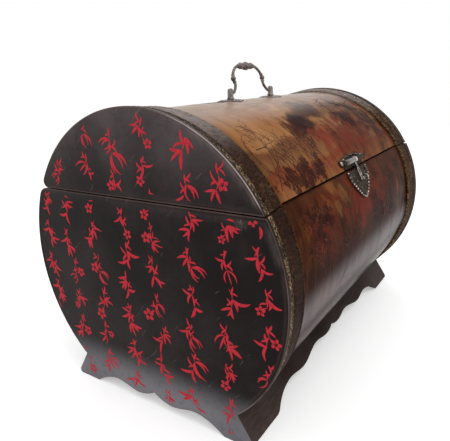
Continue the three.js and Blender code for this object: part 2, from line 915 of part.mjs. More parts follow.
addPart(
  "latch_body_plate",
  cutBy(
    bentPlate(
      raised(shield(), axisZ, latchBodyRadius),
      axisZ,
      latchBodyRadius - latchPlateThickness,
      latchPlateThickness,
      -1,
      latchSeat,
      latchHalfWidth + overcut,
    ),
    [...latchBodyNails, stapleAxis].map(nailHole),
  ),
  looks.bronze,
);

// The hasp: a strap that hangs from its knuckle, with a fork that is open at its lower end

const haspInner = latchBodyRadius + haspStandoff;

function hasp() {
  const high = radians(haspHighAngle);
  const low = radians(haspLowAngle);
  const slotHigh = radians(forkTopAngle);
  const slotLow = low - overcut / haspInner;
  const strap = mirrored([
    ...arc(0, axisZ, haspInner + haspThickness, low, high, 6),
    ...arc(0, axisZ, haspInner, high, low, 6),
  ]);
  const slot = mirrored([
    ...arc(0, axisZ, haspInner + overcut, slotLow, slotHigh, 4),
    ...arc(0, axisZ, haspInner - overcut, slotHigh, slotLow, 4),
  ]);
  const body = joined([
    alongX(strap, -haspHalf, haspHalf),
    haspBar(-haspHalf, haspHalf, haspKnuckleRadius),
  ]);
  return cutBy(body, [haspBore, alongX(slot, -forkSlot / 2, forkSlot / 2)]);
}

addPart("latch_hasp", hasp(), looks.bronze);
addPart(
  "latch_pin",
  haspBar(-earEnd - pinStand, earEnd + pinStand, haspPinRadius),
  looks.brass,
);

// The staple: a flat eye on a shank, standing out through the fork

function staple() {
  const { foot, outward } = stapleAxis;
  const up = new THREE.Vector3(0, Math.sin(radians(stapleAngle)), Math.cos(radians(stapleAngle)));
  const eye = new THREE.Shape();
  eye.moveTo(-stapleEyeRadius, touchGap);
  eye.lineTo(stapleEyeRadius, touchGap);
  eye.lineTo(stapleEyeRadius, stapleEyeHeight);
  eye.absarc(0, stapleEyeHeight, stapleEyeRadius, 0, Math.PI);
  const hole = new THREE.Path();
  hole.absarc(0, stapleEyeHeight, stapleHoleRadius, 0, Math.PI * 2);
  eye.holes.push(hole);
  const settings = { depth: stapleWidth, bevelEnabled: false, curveSegments: 6 };
  const plate = new THREE.ExtrudeGeometry(eye, settings);
  plate.translate(0, 0, -stapleWidth / 2);
  const place = new THREE.Matrix4().makeBasis(up, outward, up.clone().cross(outward));
  plate.applyMatrix4(place.setPosition(foot));
  const shank = bar(
    foot.clone().addScaledVector(outward, -nailLength),
    foot.clone().addScaledVector(outward, 3 * touchGap),
    nailShank,
    nailSides,
  );
  return joined([plate, shank]);
}

addPart("latch_staple", staple(), looks.brass);
addNails("latch_lid_nail", latchLidNails);
addNails("latch_body_nail", latchBodyNails);

// Handle: a rosette and a post on each side, nuts under the lid, and the bail between the posts

function rosetteOutline(x) {
  const steps = 5 * rosetteLobes;
  return Array.from({ length: steps }, (_, i) => {
    const angle = (i / steps) * Math.PI * 2;
    const lobe = 1 + rosetteLobeDepth * Math.cos(angle * rosetteLobes);
    return [
      x + rosetteHalfLength * lobe * Math.cos(angle),
      rosetteHalfWidth * lobe * Math.sin(angle),
    ];
  });
}

const rosetteInner = crownZ - lidAxisZ + touchGap;
const rosetteReach = rosetteHalfLength + overcut;
const rosetteFrom = Math.PI / 2 - (rosetteHalfWidth + overcut) / rosetteInner;
const rosetteCurve = [
  ...arc(0, lidAxisZ, rosetteInner + rosetteThickness, rosetteFrom, Math.PI - rosetteFrom, 8),
  ...arc(0, lidAxisZ, rosetteInner, Math.PI - rosetteFrom, rosetteFrom, 8),
];

const pinReach = 1.7; // how far the bail's pin goes past the middle of its post

function lathed(points, x, sides) {
  const profile = points.map(([r, z]) => new THREE.Vector2(r, z));
  return new THREE.LatheGeometry(profile, sides).rotateX(Math.PI / 2).translate(x, 0, 0);
}

// A bullet-shaped column on a low collar, with a shank below and a blind eye for the bail's pin
function post(side) {
  const base = crownZ + touchGap + rosetteThickness + touchGap;
  const top = pivotZ + postTopAbovePivot;
  const profile = [
    [0, crownZ - shankDepth],
    [shankRadius, crownZ - shankDepth],
    [shankRadius, base],
    [postCollarRadius, base],
    [postCollarRadius, base + 0.8],
    [postRadius, base + 1.5],
    [postRadius, top - 3],
    [postRadius * 0.86, top - 1.6],
    [postRadius * 0.55, top - 0.5],
    [0, top],
  ];
  const eye = bar(
    new THREE.Vector3(side * (postX - postRadius - overcut), 0, pivotZ),
    new THREE.Vector3(side * (postX + pinReach + pinStand), 0, pivotZ),
    bailPinRadius + touchGap,
    12,
  );
  return cutBy(lathed(profile, side * postX, 14), [eye]);
}

function postNut(side) {
  const top = lidAxisZ + liningOutside - lidStepIn - liningThickness - touchGap;
  const bottom = top - nutHeight;
  const nutProfile = [
    [shankRadius + touchGap, bottom],
    [nutRadius, bottom],
    [nutRadius, top],
    [shankRadius + touchGap, top],
    [shankRadius + touchGap, bottom],
  ];
  return lathed(nutProfile, side * postX, 6);
}

for (const [name, side] of Object.entries(ends)) {
  addPart(
    `${name}_rosette`,
    cutBy(
      commonTo(
        extruded(rosetteOutline(side * postX), crownZ - overcut, crownZ + overcut, [
          unitX,
          unitY,
          unitZ,
        ]),
        alongX(rosetteCurve, side * postX - rosetteReach, side * postX + rosetteReach),
      ),
      postHoles,
    ),
    looks.bronze,
  );
  addPart(`${name}_post`, post(side), looks.bronze);
  addPart(`${name}_post_nut`, postNut(side), looks.brass);
}

// The bail stands in its own plane here, as (x, height above the pivot); its group leans it back.
const pinStart = 33;
const knee = [28.5, 14.4];

function bailShoulder(side) {
  const route = [
    [34.4, 0],
    [32, 1.6],
    [27, 7.6],
    knee,
    [25.5, 20],
    [19.5, 24.6],
    [13, bailRise],
  ];
  const path = new THREE.CatmullRomCurve3(route.map(([x, h]) => new THREE.Vector3(side * x, 0, h)));
  const section = new THREE.Shape();
  section.absarc(0, 0, bailRodRadius, 0, Math.PI * 2);
  return new THREE.ExtrudeGeometry(section, { steps: 13, curveSegments: 4, extrudePath: path });
}

function bail() {
  const pieces = [];
  for (const side of [-1, 1]) {
    pieces.push(bailShoulder(side));
    pieces.push(
      bar(
        new THREE.Vector3(side * pinStart, 0, 0),
        new THREE.Vector3(side * (postX + pinReach), 0, 0),
        bailPinRadius,
        12,
      ),
    );
    pieces.push(new THREE.SphereGeometry(kneeRadius, 10, 6).translate(side * knee[0], 0, knee[1]));
  }
  // half the grip, from its middle outwards: a fat bulge, a waist and a slimmer bulge
  const halfGrip = [
    [4.3, 0],
    [3.7, 3.2],
    [2.2, 5.9],
    [2.8, 8.2],
    [2.7, 11.4],
    [1.6, 15.4],
    [0, 15.4],
  ];
  const otherHalf = reversed(halfGrip.slice(1)).map(([r, along]) => [r, -along]);
  const grip = [...otherHalf, ...halfGrip].map(([r, along]) => new THREE.Vector2(r, along));
  pieces.push(new THREE.LatheGeometry(grip, 12).rotateZ(-Math.PI / 2).translate(0, 0, bailRise));
  return joined(pieces);
}

const bailGroup = new THREE.Group();
bailGroup.position.set(0, 0, pivotZ);
bailGroup.rotation.x = -radians(bailLean);
box.add(bailGroup);
addPart("handle_bail", bail(), looks.bronze, bailGroup);

export default box;
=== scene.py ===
import math
from functools import partialmethod

import bpy
import numpy as np
from mathutils import Matrix, Vector


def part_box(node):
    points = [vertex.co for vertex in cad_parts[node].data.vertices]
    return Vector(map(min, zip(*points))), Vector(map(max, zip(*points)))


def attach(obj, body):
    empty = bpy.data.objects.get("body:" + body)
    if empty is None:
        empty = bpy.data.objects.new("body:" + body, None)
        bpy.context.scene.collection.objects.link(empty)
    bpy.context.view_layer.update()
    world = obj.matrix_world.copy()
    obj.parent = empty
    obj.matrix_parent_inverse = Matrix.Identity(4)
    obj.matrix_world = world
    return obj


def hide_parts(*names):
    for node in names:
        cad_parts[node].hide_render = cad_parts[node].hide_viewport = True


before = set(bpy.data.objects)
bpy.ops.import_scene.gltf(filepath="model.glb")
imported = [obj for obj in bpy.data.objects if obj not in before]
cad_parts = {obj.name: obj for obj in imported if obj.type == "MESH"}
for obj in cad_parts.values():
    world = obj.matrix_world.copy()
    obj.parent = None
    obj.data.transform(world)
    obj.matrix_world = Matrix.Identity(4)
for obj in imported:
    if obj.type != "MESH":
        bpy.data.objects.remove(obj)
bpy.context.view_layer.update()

# Metres. X runs along the barrel, the latch faces -Y, the hinges are at +Y.
mm = 0.001

endLow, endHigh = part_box("left_end_leather")
barrel = {
    "halfLength": -endLow.x,
    "rimRadius": endHigh.y,
    "axisZ": 124 * mm,
    "lidAxisZ": 126.9 * mm,
    "lidStepIn": 2 * mm,
    "bodyTop": endHigh.z,
    "lidBottom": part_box("lid_left_leather")[0].z,
    "wallBottom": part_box("front_wrap")[0].z,
    "flare": 0.64,  # sideways lean of the foot rails, per unit of height
    "railOuterFoot": 101 * mm,
    "railInnerFoot": 91.5 * mm,
    "railTop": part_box("front_foot_rail")[1].z,
    "frontCorner": 0.6 * mm,
    "rearCorner": (11 * mm, 0.8),  # radius at the rim, and what it loses with depth
    "lidRearCorner": (5 * mm, 0.386),
}
rimRadius = barrel["rimRadius"]
axisZ = barrel["axisZ"]
lidAxisZ = barrel["lidAxisZ"]


# Meshes

def newObject(name, data):
    # puts a mesh, lamp or camera into the scene
    made = bpy.data.objects.new(name, data)
    bpy.context.scene.collection.objects.link(made)
    return made


def signedVolume(verts, polygons):
    # sum of the tetrahedra from the origin to each fan triangle
    total = 0.0
    for faces in polygons:
        faces = np.asarray(faces)
        first = verts[faces[:, 0]]
        for i in range(1, faces.shape[1] - 1):
            crossed = np.cross(verts[faces[:, i]], verts[faces[:, i + 1]])
            total += np.einsum("ij,ij->", first, crossed)
    return total


# by how many numbers an attribute has at each vertex
attributeKinds = {1: ("FLOAT", "value"), 3: ("FLOAT_VECTOR", "vector"), 4: ("FLOAT_COLOR", "color")}


def makePiece(name, verts, polygons, sharpAngle=40, attributes=None):
    # polygons is a list of index arrays, each of one face size; they are turned to face outwards
    verts = np.asarray(verts, float).reshape(-1, 3)
    polygons = [np.asarray(faces, int) for faces in polygons if len(faces)]
    if signedVolume(verts, polygons) < 0:
        polygons = [faces[:, ::-1] for faces in polygons]
    mesh = bpy.data.meshes.new(name)
    mesh.vertices.add(len(verts))
    mesh.vertices.foreach_set("co", verts.ravel())
    loops = np.concatenate([faces.ravel() for faces in polygons])
    sizes = np.concatenate([np.full(len(faces), faces.shape[1]) for faces in polygons])
    starts = np.concatenate([[0], np.cumsum(sizes)[:-1]])
    mesh.loops.add(len(loops))
    mesh.loops.foreach_set("vertex_index", loops)
    mesh.polygons.add(len(sizes))
    mesh.polygons.foreach_set("loop_start", starts)
    mesh.update(calc_edges=True)
    mesh.validate()
    mesh.polygons.foreach_set("use_smooth", np.ones(len(mesh.polygons), bool))
    mesh.set_sharp_from_angle(angle=math.radians(sharpAngle))
    for label, values in (attributes or {}).items():
        values = np.asarray(values, np.float32).ravel()
        kind, field = attributeKinds[len(values) // len(verts)]
        mesh.attributes.new(label, kind, "POINT").data.foreach_set(field, values)
    return newObject(name, mesh)


def finishPiece(piece, look, body, *replaced):
    # gives it a material, the body that it rides on and the CAD node that it stands in for
    piece.data.materials.append(materials[look])
    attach(piece, body)
    if replaced:
        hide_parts(*replaced)


def gridFaces(rows, columns, wrapColumns=False):
    # quads between neighbouring rows and columns of a grid of points
    a, b = np.meshgrid(np.arange(rows - 1), np.arange(columns if wrapColumns else columns - 1), indexing="ij")
    nextB = (b + 1) % columns
    first = a * columns
    second = first + columns
    return np.stack([first + b, first + nextB, second + nextB, second + b], -1).reshape(-1, 4)


def capFaces(rows, columns):
    # the first and the last row of a grid, each closed by one face
    turn = np.arange(columns)
    return np.stack([turn[::-1], turn + (rows - 1) * columns])


def fanFaces(first, sides, middle):
    # triangles between the ring that starts at one vertex and a middle vertex
    turn = np.arange(sides)
    return np.stack([turn + first, (turn + 1) % sides + first, np.full(sides, middle)], 1)


def tubeFaces(rows, sides):
    # rings joined by quads, and a fan at each end round a middle point; those points come after the rings
    start = fanFaces(0, sides, rows * sides)[:, [1, 0, 2]]
    end = fanFaces((rows - 1) * sides, sides, rows * sides + 1)
    return [gridFaces(rows, sides, wrapColumns=True), np.concatenate([start, end])]


def copies(faces, count, size):
    # the faces of one shape, repeated for many shapes with so many vertices each
    return (faces[None] + (np.arange(count) * size)[:, None, None]).reshape(-1, faces.shape[1])


def smooth(low, high, value):
    # climbs from 0 to 1 between two values: three times the square less twice the cube
    t = np.clip((value - low) / (high - low), 0, 1)
    return t * t * (3 - 2 * t)


def bell(value, centre, width):
    # a bell curve: 1 at its centre, falling away over its width
    return np.exp(-((value - centre) / width) ** 2)


def unit(vectors):
    # vectors divided by their own lengths
    return vectors / np.maximum(np.linalg.norm(vectors, axis=-1, keepdims=True), 1e-9)


def toward(angle):
    # the unit vector at an angle
    return np.stack([np.cos(angle), np.sin(angle)], -1)


def waves(points, scale, seed, octaves=4):
    # soft noise from -1 to 1: sums of sines in seeded directions, each octave finer and weaker
    draw = np.random.default_rng(seed)
    total = 0
    weight = 0
    for octave in range(octaves):
        strength = 0.55 ** octave
        for sine in range(4):
            direction = unit(draw.normal(size=points.shape[-1]))
            turns = points @ direction * (2 * np.pi * 1.9 ** octave / scale)
            total = total + strength * np.sin(turns + draw.uniform(0, 2 * np.pi))
            weight += strength * 0.7
    return np.clip(total / weight, -1, 1)


# Outlines of the barrel in (y, z), as arrays of points

def arcPoints(centreY, centreZ, radius, start, end, count=9):
    # points on a circle at even steps of its angle
    angle = np.linspace(start, end, count)
    return np.array([centreY, centreZ]) + radius * toward(angle)


def footLineAngle(radius, foot):
    # where a circle about the axis meets the line y = foot - flare * z
    flare = barrel["flare"]
    reach = (foot - flare * axisZ) / (radius * math.hypot(1, flare))
    return math.atan(flare) - math.acos(reach)


def cornerAt(radius, corner, height):
    # a rounded corner inside a circle: the angle at which it leaves the circle, and how far out its middle is
    tangent = math.asin(height / (radius - corner))
    return tangent, (radius - corner) * math.cos(tangent)


def rearCorner(key, depth):
    # layers further in have a smaller rear corner, so that each fits in the last
    outer, share = barrel[key]
    return outer - share * depth


def bodyLayer(side, radius, foot=None, count=90):
    # one side of the body: up a circle from the foot line, or from the top of the rail, and round a corner on
    # to the plane of the split
    if foot is None:
        start = math.asin((barrel["wallBottom"] - axisZ) / radius)
    else:
        start = footLineAngle(radius, foot)
    corner = rearCorner("rearCorner", rimRadius - radius) if side > 0 else barrel["frontCorner"]
    z = barrel["bodyTop"] - corner
    tangent, y = cornerAt(radius, corner, z - axisZ)
    arc = arcPoints(0, axisZ, radius, start, tangent, count)
    return np.concatenate([arc, arcPoints(y, z, corner, tangent, math.pi / 2)[1:]])


def lidLayer(radius, count=150):
    # the lid at a radius about its own axis: round the rear corner, over the crown and round the front corner
    rear = rearCorner("lidRearCorner", rimRadius - barrel["lidStepIn"] - radius)
    front = barrel["frontCorner"]
    rearZ, frontZ = barrel["lidBottom"] + rear, barrel["lidBottom"] + front
    rearAngle, rearY = cornerAt(radius, rear, rearZ - lidAxisZ)
    frontAngle, frontY = cornerAt(radius, front, frontZ - lidAxisZ)
    return np.concatenate([
        arcPoints(rearY, rearZ, rear, -math.pi / 2, rearAngle),
        arcPoints(0, lidAxisZ, radius, rearAngle, math.pi - frontAngle, count)[1:-1],
        arcPoints(-frontY, frontZ, front, math.pi - frontAngle, 1.5 * math.pi),
    ])


def alongAndNormal(points):
    # distance along an outline, and its outward normals, for an outline that turns anticlockwise
    steps = np.linalg.norm(np.diff(points, axis=0), axis=1)
    along = np.concatenate([[0], np.cumsum(steps)])
    tangent = unit(np.gradient(points, axis=0))
    return along, np.stack([tangent[:, 1], -tangent[:, 0]], 1)


def onRound(x, angle, reach, centreZ, side=-1):
    # a point at an angle above the middle of the front, or of the rear, on a circle about an axis along X
    return np.stack([x, side * reach * np.cos(angle), centreZ + reach * np.sin(angle)], -1)


def sweep(name, layerOf, profile, side=1, relief=None, attributesOf=None, sharpAngle=40):
    # carries a closed profile of (x, radius, relief share) along the outline that each radius has;
    # relief(along, x) pushes the surface out along its normal
    profile = np.asarray(profile, float)
    layers = [layerOf(radius) for radius in profile[:, 1]]
    along = alongAndNormal(layers[len(layers) // 2])[0]
    normals = np.stack([alongAndNormal(layer)[1] for layer in layers], 1)
    outline = np.stack(layers, 1)
    x = np.broadcast_to(profile[:, 0], outline.shape[:2])
    alongGrid = np.broadcast_to(along[:, None], x.shape)
    lift = relief(alongGrid, x) * profile[:, 2] if relief else np.zeros(x.shape)
    y = outline[..., 0] + normals[..., 0] * lift
    z = outline[..., 1] + normals[..., 1] * lift
    verts = np.stack([x, y * side, z], -1)
    faces = [gridFaces(*x.shape, wrapColumns=True), capFaces(*x.shape)]
    attributes = {"place": np.stack([x, alongGrid, lift], -1)}
    if attributesOf:
        attributes.update(attributesOf(x, alongGrid, verts))
    return makePiece(name, verts, faces, sharpAngle, attributes)


# A flat board with shaped edges: rings stepped in from a closed outline, each at its own depth

def insetNormals(outline):
    # inward normals at the corners of a closed anticlockwise outline, longer where it turns more sharply
    after = unit(np.roll(outline, -1, 0) - outline)
    middle = unit(np.roll(after, 1, 0) + after)
    normal = np.stack([-middle[:, 1], middle[:, 0]], 1)
    stretch = 1 / np.clip(np.einsum("ij,ij->i", middle, after), 0.6, 1)
    return normal * stretch[:, None]


def board(name, outline, ringsOf, place, centre, faceOf=None, attributesOf=None):
    # ringsOf(whether the outline was turned) gives two arrays, insets and depths, from the back's edge round
    # to the face; the face shrinks towards its centre, faceOf(a, b) lifts it, and place maps (a, b, depth)
    following = np.roll(outline, -1, 0)
    turned = np.sum(outline[:, 0] * following[:, 1] - following[:, 0] * outline[:, 1]) < 0
    if turned:
        outline = outline[::-1]
    normals = insetNormals(outline)
    insets, depths = ringsOf(turned)
    points = outline[None] + normals[None] * insets[..., None]
    shares = np.array([0.985, 0.96, 0.92, 0.86, 0.78, 0.68, 0.56, 0.43, 0.3, 0.18, 0.08])
    inner = centre + (points[-1] - centre) * shares[:, None, None]
    points = np.concatenate([points, inner, np.broadcast_to(centre, (1,) + outline.shape)])
    flat = np.broadcast_to(depths[-1], (len(shares) + 1, len(outline)))
    depths = np.concatenate([depths, flat])
    if faceOf:
        onFace = (np.arange(len(depths)) >= len(insets) - 1)[:, None]
        depths = depths - faceOf(points[..., 0], points[..., 1]) * onFace
    grid = place(points[..., 0], points[..., 1], depths)
    rows, columns = len(grid) - 1, grid.shape[1]
    verts = np.concatenate([grid[:-1].reshape(-1, 3), grid[-1, :1]])
    attributes = {}
    if attributesOf:
        ringIndex = np.append(np.repeat(np.arange(rows), columns), rows + 1)
        attributes = attributesOf(ringIndex, verts)
    fan = fanFaces((rows - 1) * columns, columns, rows * columns)
    faces = [gridFaces(rows, columns, wrapColumns=True), np.arange(columns)[None, ::-1], fan]
    return makePiece(name, verts, faces, 35, attributes)


def lathe(profile, sides):
    # turns (radius, height) about Z; the first and last points lie on the axis
    angle = np.linspace(0, 2 * np.pi, sides, endpoint=False)
    radius, height = (np.repeat(profile[1:-1, k:k + 1], sides, 1) for k in (0, 1))
    ring = np.stack([radius * np.cos(angle), radius * np.sin(angle), height], -1).reshape(-1, 3)
    ends = np.array([[0, 0, profile[0, 1]], [0, 0, profile[-1, 1]]])
    return np.concatenate([ring, ends]), tubeFaces(len(profile) - 2, sides)


def joinParts(parts):
    # several tubes as one mesh: the faces of each count on from the vertices before it
    starts = np.cumsum([0] + [len(verts) for verts, faces in parts])
    moved = [(faces[0] + start, faces[1] + start) for (verts, faces), start in zip(parts, starts)]
    return np.concatenate([verts for verts, faces in parts]), [np.concatenate(group) for group in zip(*moved)]


def tube(path, across, up, radius, sides=16, relief=0.0):
    # a closed tube along a path, with two unit vectors square to it and a radius at each point
    angle = np.linspace(0, 2 * np.pi, sides, endpoint=False)
    reach = (np.asarray(radius)[:, None] + relief)[..., None]
    turn = across[:, None] * np.cos(angle)[:, None] + up[:, None] * np.sin(angle)[:, None]
    ring = path[:, None] + turn * reach
    return np.concatenate([ring.reshape(-1, 3), path[:1], path[-1:]]), tubeFaces(len(path), sides)


def evenly(path, count=0, spacing=0.0):
    # points at even steps along an open path: so many, or about so far apart
    along = alongAndNormal(path)[0]
    steps = np.linspace(0, along[-1], count or int(along[-1] / spacing) + 1)
    return np.stack([np.interp(steps, along, path[:, k]) for k in (0, 1)], 1)


def smoothPath(points, count):
    # a smooth curve through the points: cubic pieces whose slopes come from the points on both sides
    padded = np.concatenate([[2 * points[0] - points[1]], points, [2 * points[-1] - points[-2]]])
    t = np.linspace(0, 1, 24, endpoint=False)[:, None]
    pieces = []
    for p0, p1, p2, p3 in zip(padded, padded[1:], padded[2:], padded[3:]):
        pieces.append(0.5 * (2 * p1 + (p2 - p0) * t + (2 * p0 - 5 * p1 + 4 * p2 - p3) * t ** 2
                             + (3 * p1 - p0 - 3 * p2 + p3) * t ** 3))
    return evenly(np.concatenate(pieces + [points[-1:]]), count)


def beadsAt(centres, outward, radius, rows=4, sides=8):
    # half spheres on a surface, with the given outward directions, and a little of their lower halves
    helper = np.where(np.abs(outward[:, :1]) < 0.9, [[1.0, 0, 0]], [[0, 1.0, 0]])
    first = unit(np.cross(outward, helper))
    second = np.cross(outward, first)
    polar = np.linspace(-0.35, np.pi / 2, rows + 1)[:-1]
    angle = np.linspace(0, 2 * np.pi, sides, endpoint=False)
    polar, angle = np.meshgrid(polar, angle, indexing="ij")
    axes = [(first, np.cos(polar) * np.cos(angle)), (second, np.cos(polar) * np.sin(angle)),
            (outward, np.sin(polar))]
    turn = sum(axis[:, None, None] * share[..., None] for axis, share in axes)
    ring = (centres[:, None, None] + turn * radius).reshape(len(centres), -1, 3)
    low = centres - outward * radius * 0.4
    high = centres + outward * radius
    verts = np.concatenate([ring, low[:, None], high[:, None]], 1)
    faces = [copies(one, len(centres), verts.shape[1]) for one in tubeFaces(rows, sides)]
    return verts.reshape(-1, 3), faces


# Materials

class Finish:
    # the nodes of one material or world; each method adds to them and gives back what comes out
    def __init__(self, owner):
        owner.use_nodes = True
        self.owner = owner
        self.tree = owner.node_tree
        self.tree.nodes.clear()

    def put(self, kind, inputs=None, **settings):
        # a node with its settings, and its inputs by name or number: a value or another node's output
        made = self.tree.nodes.new("ShaderNode" + kind)
        for key, value in settings.items():
            setattr(made, key, value)
        for key, value in (inputs or {}).items():
            socket = made.inputs[key]
            if isinstance(value, bpy.types.NodeSocket):
                self.tree.links.new(value, socket)
            else:
                socket.default_value = value
        return made.outputs

    def fold(self, operation, first, *others):
        # one operation over all the values, from the left
        for other in others:
            first = self.put("Math", {0: first, 1: other}, operation=operation)[0]
        return first

    times = partialmethod(fold, "MULTIPLY")
    plus = partialmethod(fold, "ADD")
    minus = partialmethod(fold, "SUBTRACT")
    highest = partialmethod(fold, "MAXIMUM")

    def rest(self, value):
        # what is left of one
        return self.minus(1.0, value)

    def mix(self, share, first, second, blend="MIX"):
        # a share of the second colour over the first
        return self.put("Mix", {0: share, 6: first, 7: second}, data_type="RGBA", blend_type=blend)[2]

    def noise(self, vector, scale, detail=4.0, roughness=0.55, distortion=0.0, output="Fac"):
        # clouds, finer with a greater scale
        inputs = {"Vector": vector, "Scale": scale, "Detail": detail, "Roughness": roughness}
        return self.put("TexNoise", {**inputs, "Distortion": distortion})[output]

    def wave(self, vector, scale, direction, distortion, detail=2.0, detailScale=1.0):
        # bent bands
        inputs = {"Vector": vector, "Scale": scale, "Distortion": distortion, "Detail": detail}
        return self.put("TexWave", {**inputs, "Detail Scale": detailScale}, bands_direction=direction)["Fac"]

    def cells(self, vector, scale):
        # distance from the edges of a grain
        inputs = {"Vector": vector, "Scale": scale}
        return self.put("TexVoronoi", inputs, feature="DISTANCE_TO_EDGE")["Distance"]

    def between(self, value, low, high, toLow=0.0, toHigh=1.0):
        # goes smoothly from toLow to toHigh while the value goes from low to high
        inputs = {"Value": value, "From Min": low, "From Max": high, "To Min": toLow, "To Max": toHigh}
        return self.put("MapRange", inputs, clamp=True, interpolation_type="SMOOTHSTEP")["Result"]

    def point(self):
        # the place of a point in metres, as the object has it
        return self.put("TexCoord")["Object"]

    def part(self, vector, index):
        # one coordinate of a vector
        return self.put("SeparateXYZ", {0: vector})[index]

    def stretched(self, vector, *scale):
        # a pattern on this is longer along an axis with a smaller scale
        return self.put("Mapping", {"Vector": vector, "Scale": scale})["Vector"]

    def attribute(self, name, output="Fac"):
        # what the mesh holds at each vertex
        return self.put("Attribute", attribute_name=name, attribute_type="GEOMETRY")[output]

    def bump(self, height, strength, distance, normal=None):
        # a normal that leans as the height changes, over another normal if there is one
        inputs = {"Height": height, "Strength": strength, "Distance": distance}
        if normal is not None:
            inputs["Normal"] = normal
        return self.put("Bump", inputs)["Normal"]

    def done(self, **values):
        # the principled shader and the output; constants go on its own sockets
        names = {
            "colour": "Base Color", "roughness": "Roughness", "metal": "Metallic", "normal": "Normal",
            "specular": "Specular IOR Level", "coat": "Coat Weight", "coatRoughness": "Coat Roughness",
            "coatNormal": "Coat Normal", "sheen": "Sheen Weight", "bend": "IOR", "coatBend": "Coat IOR",
        }
        shader = self.put("BsdfPrincipled", {names[key]: value for key, value in values.items()})[0]
        self.put("OutputMaterial", {"Surface": shader})
        return self.owner


def newFinish(name):
    # an empty material
    return Finish(bpy.data.materials.new(name))


def colour(red, green, blue):
    # a colour as it looks on a screen, 0 to 255, turned to linear light
    def linear(value):
        value /= 255
        return value / 12.92 if value <= 0.04045 else ((value + 0.055) / 1.055) ** 2.4
    return (linear(red), linear(green), linear(blue), 1.0)


leatherLook = {
    "dark": colour(24, 18, 18),
    "light": colour(46, 39, 38),
    "haze": colour(126, 124, 129),  # painted reflection of the floor, grey near the feet
    "hazeHeight": (14 * mm, 50 * mm),
    "dust": colour(88, 79, 79),  # painted sheen, a little paler towards the top
    "dustHeight": (165 * mm, 260 * mm),
    # pale scratches and wear, and the painted sheen in the scuffed zone
    "scuff": colour(184, 166, 164),
    "rust": colour(118, 94, 86),
    "scrape": (-180 * mm, -95 * mm, 178 * mm),  # one deeper scrape near the left end's front corner
    "scrapeReach": (1.5 * mm, 6.5 * mm),
    "bend": 1.15,
    "roughness": (0.30, 0.46),
    "grainScale": 900.0,
    "poreScale": 2600.0,
}


def leatherMaterial():
    # cloudy near-black leather, paler above as painted sheen and grey below as a painted reflection of the
    # floor, scratched, and worn where the attributes say
    look = leatherLook
    kit = newFinish("blackened_leather")
    point = kit.point()
    height = kit.part(point, 2)
    cloud = kit.noise(point, 14.0, 5.0)
    mottle = kit.noise(point, 150.0, 5.0, 0.65)
    paint = kit.mix(kit.between(cloud, 0.35, 0.7), look["dark"], look["light"])
    # painted sheen: the leather grows paler towards the top
    paintedSheen = kit.times(kit.between(height, *look["dustHeight"]), kit.between(cloud, 0.3, 0.6, 0.5, 1.0))
    paint = kit.mix(paintedSheen, paint, look["dust"])
    # painted reflection of the floor: the leather turns grey near the feet
    low = kit.rest(kit.between(height, *look["hazeHeight"]))
    paint = kit.mix(kit.times(low, kit.between(cloud, 0.2, 0.6, 0.7, 1.0)), paint, look["haze"])
    paint = kit.mix(kit.between(mottle, 0.5, 0.75, 0.0, 0.35), paint, look["dark"])
    # short fine scratches
    scratch = kit.between(kit.wave(point, 27.0, "DIAGONAL", 2.2, 1.0, 1.2), 0.990, 0.999)
    patch = kit.between(kit.noise(point, 70.0, 3.0), 0.57, 0.68)
    paint = kit.mix(kit.times(scratch, patch, 0.1), paint, look["scuff"])
    # the rim is rubbed: rusty where it is a little worn, pale where it is worn through, and on its upper
    # front partly a painted sheen
    wear = kit.attribute("wear")
    worn = kit.times(wear, kit.between(mottle, 0.3, 0.5, 0.6, 1.0))
    paint = kit.mix(worn, paint, kit.mix(kit.between(wear, 0.4, 0.8), look["rust"], look["scuff"]))
    # and beside its front, a pale zone that is partly scuffing and partly painted sheen
    hatch = kit.noise(kit.stretched(point, 1.0, 1.0, 0.35), 300.0, 5.0, 0.7, 0.3)
    scuffedAndSheen = kit.times(kit.attribute("scuffing"), kit.between(hatch, 0.3, 0.65, 0.35, 1.0))
    paint = kit.mix(scuffedAndSheen, paint, look["scuff"])
    away = kit.put("VectorMath", {0: point, 1: look["scrape"]}, operation="DISTANCE")["Value"]
    near = kit.rest(kit.between(away, *look["scrapeReach"]))
    torn = kit.noise(kit.stretched(point, 1.0, 0.8, 0.4), 620.0, 5.0, 0.75, 2.0)
    paint = kit.mix(kit.times(near, kit.between(torn, 0.5, 0.66, 0.0, 0.35)), paint, look["scuff"])
    grain = kit.times(kit.between(kit.cells(point, look["grainScale"]), 0.0, 0.12), 0.5)
    pores = kit.times(kit.noise(point, look["poreScale"], 2.0), 0.3)
    fine = kit.bump(kit.plus(grain, pores), 0.16, 0.0002)
    normal = kit.bump(kit.noise(point, 26.0, 3.0), 0.35, 0.0012, fine)
    rough = kit.between(cloud, 0.3, 0.75, *look["roughness"])
    return kit.done(colour=paint, roughness=rough, bend=look["bend"], normal=normal)


bandLook = {
    "dark": colour(34, 16, 12),
    "brown": colour(74, 36, 27),
    "line": colour(130, 102, 74),  # worn crests of the fine embossing, and the painted highlight on the rolled inner edges
    "dust": colour(160, 148, 144),  # painted sheen on the crown
    "dustHeight": (219 * mm, 252 * mm),
    "bend": 1.05,
    "roughness": (0.32, 0.5),
}


def raisedLines(kit, vector, angle, length, scale, width):
    # thin wandering lines, drawn out along one direction: where a stretched noise passes its middle value
    drawn = kit.put("Mapping", {"Vector": vector, "Rotation": (0, 0, angle), "Scale": (1, length, 1)},
                    vector_type="TEXTURE")["Vector"]
    off = kit.fold("ABSOLUTE", kit.minus(kit.noise(drawn, scale, 2.0, 0.5, 0.3), 0.5), 0.0)
    return kit.rest(kit.between(off, width * 0.4, width))


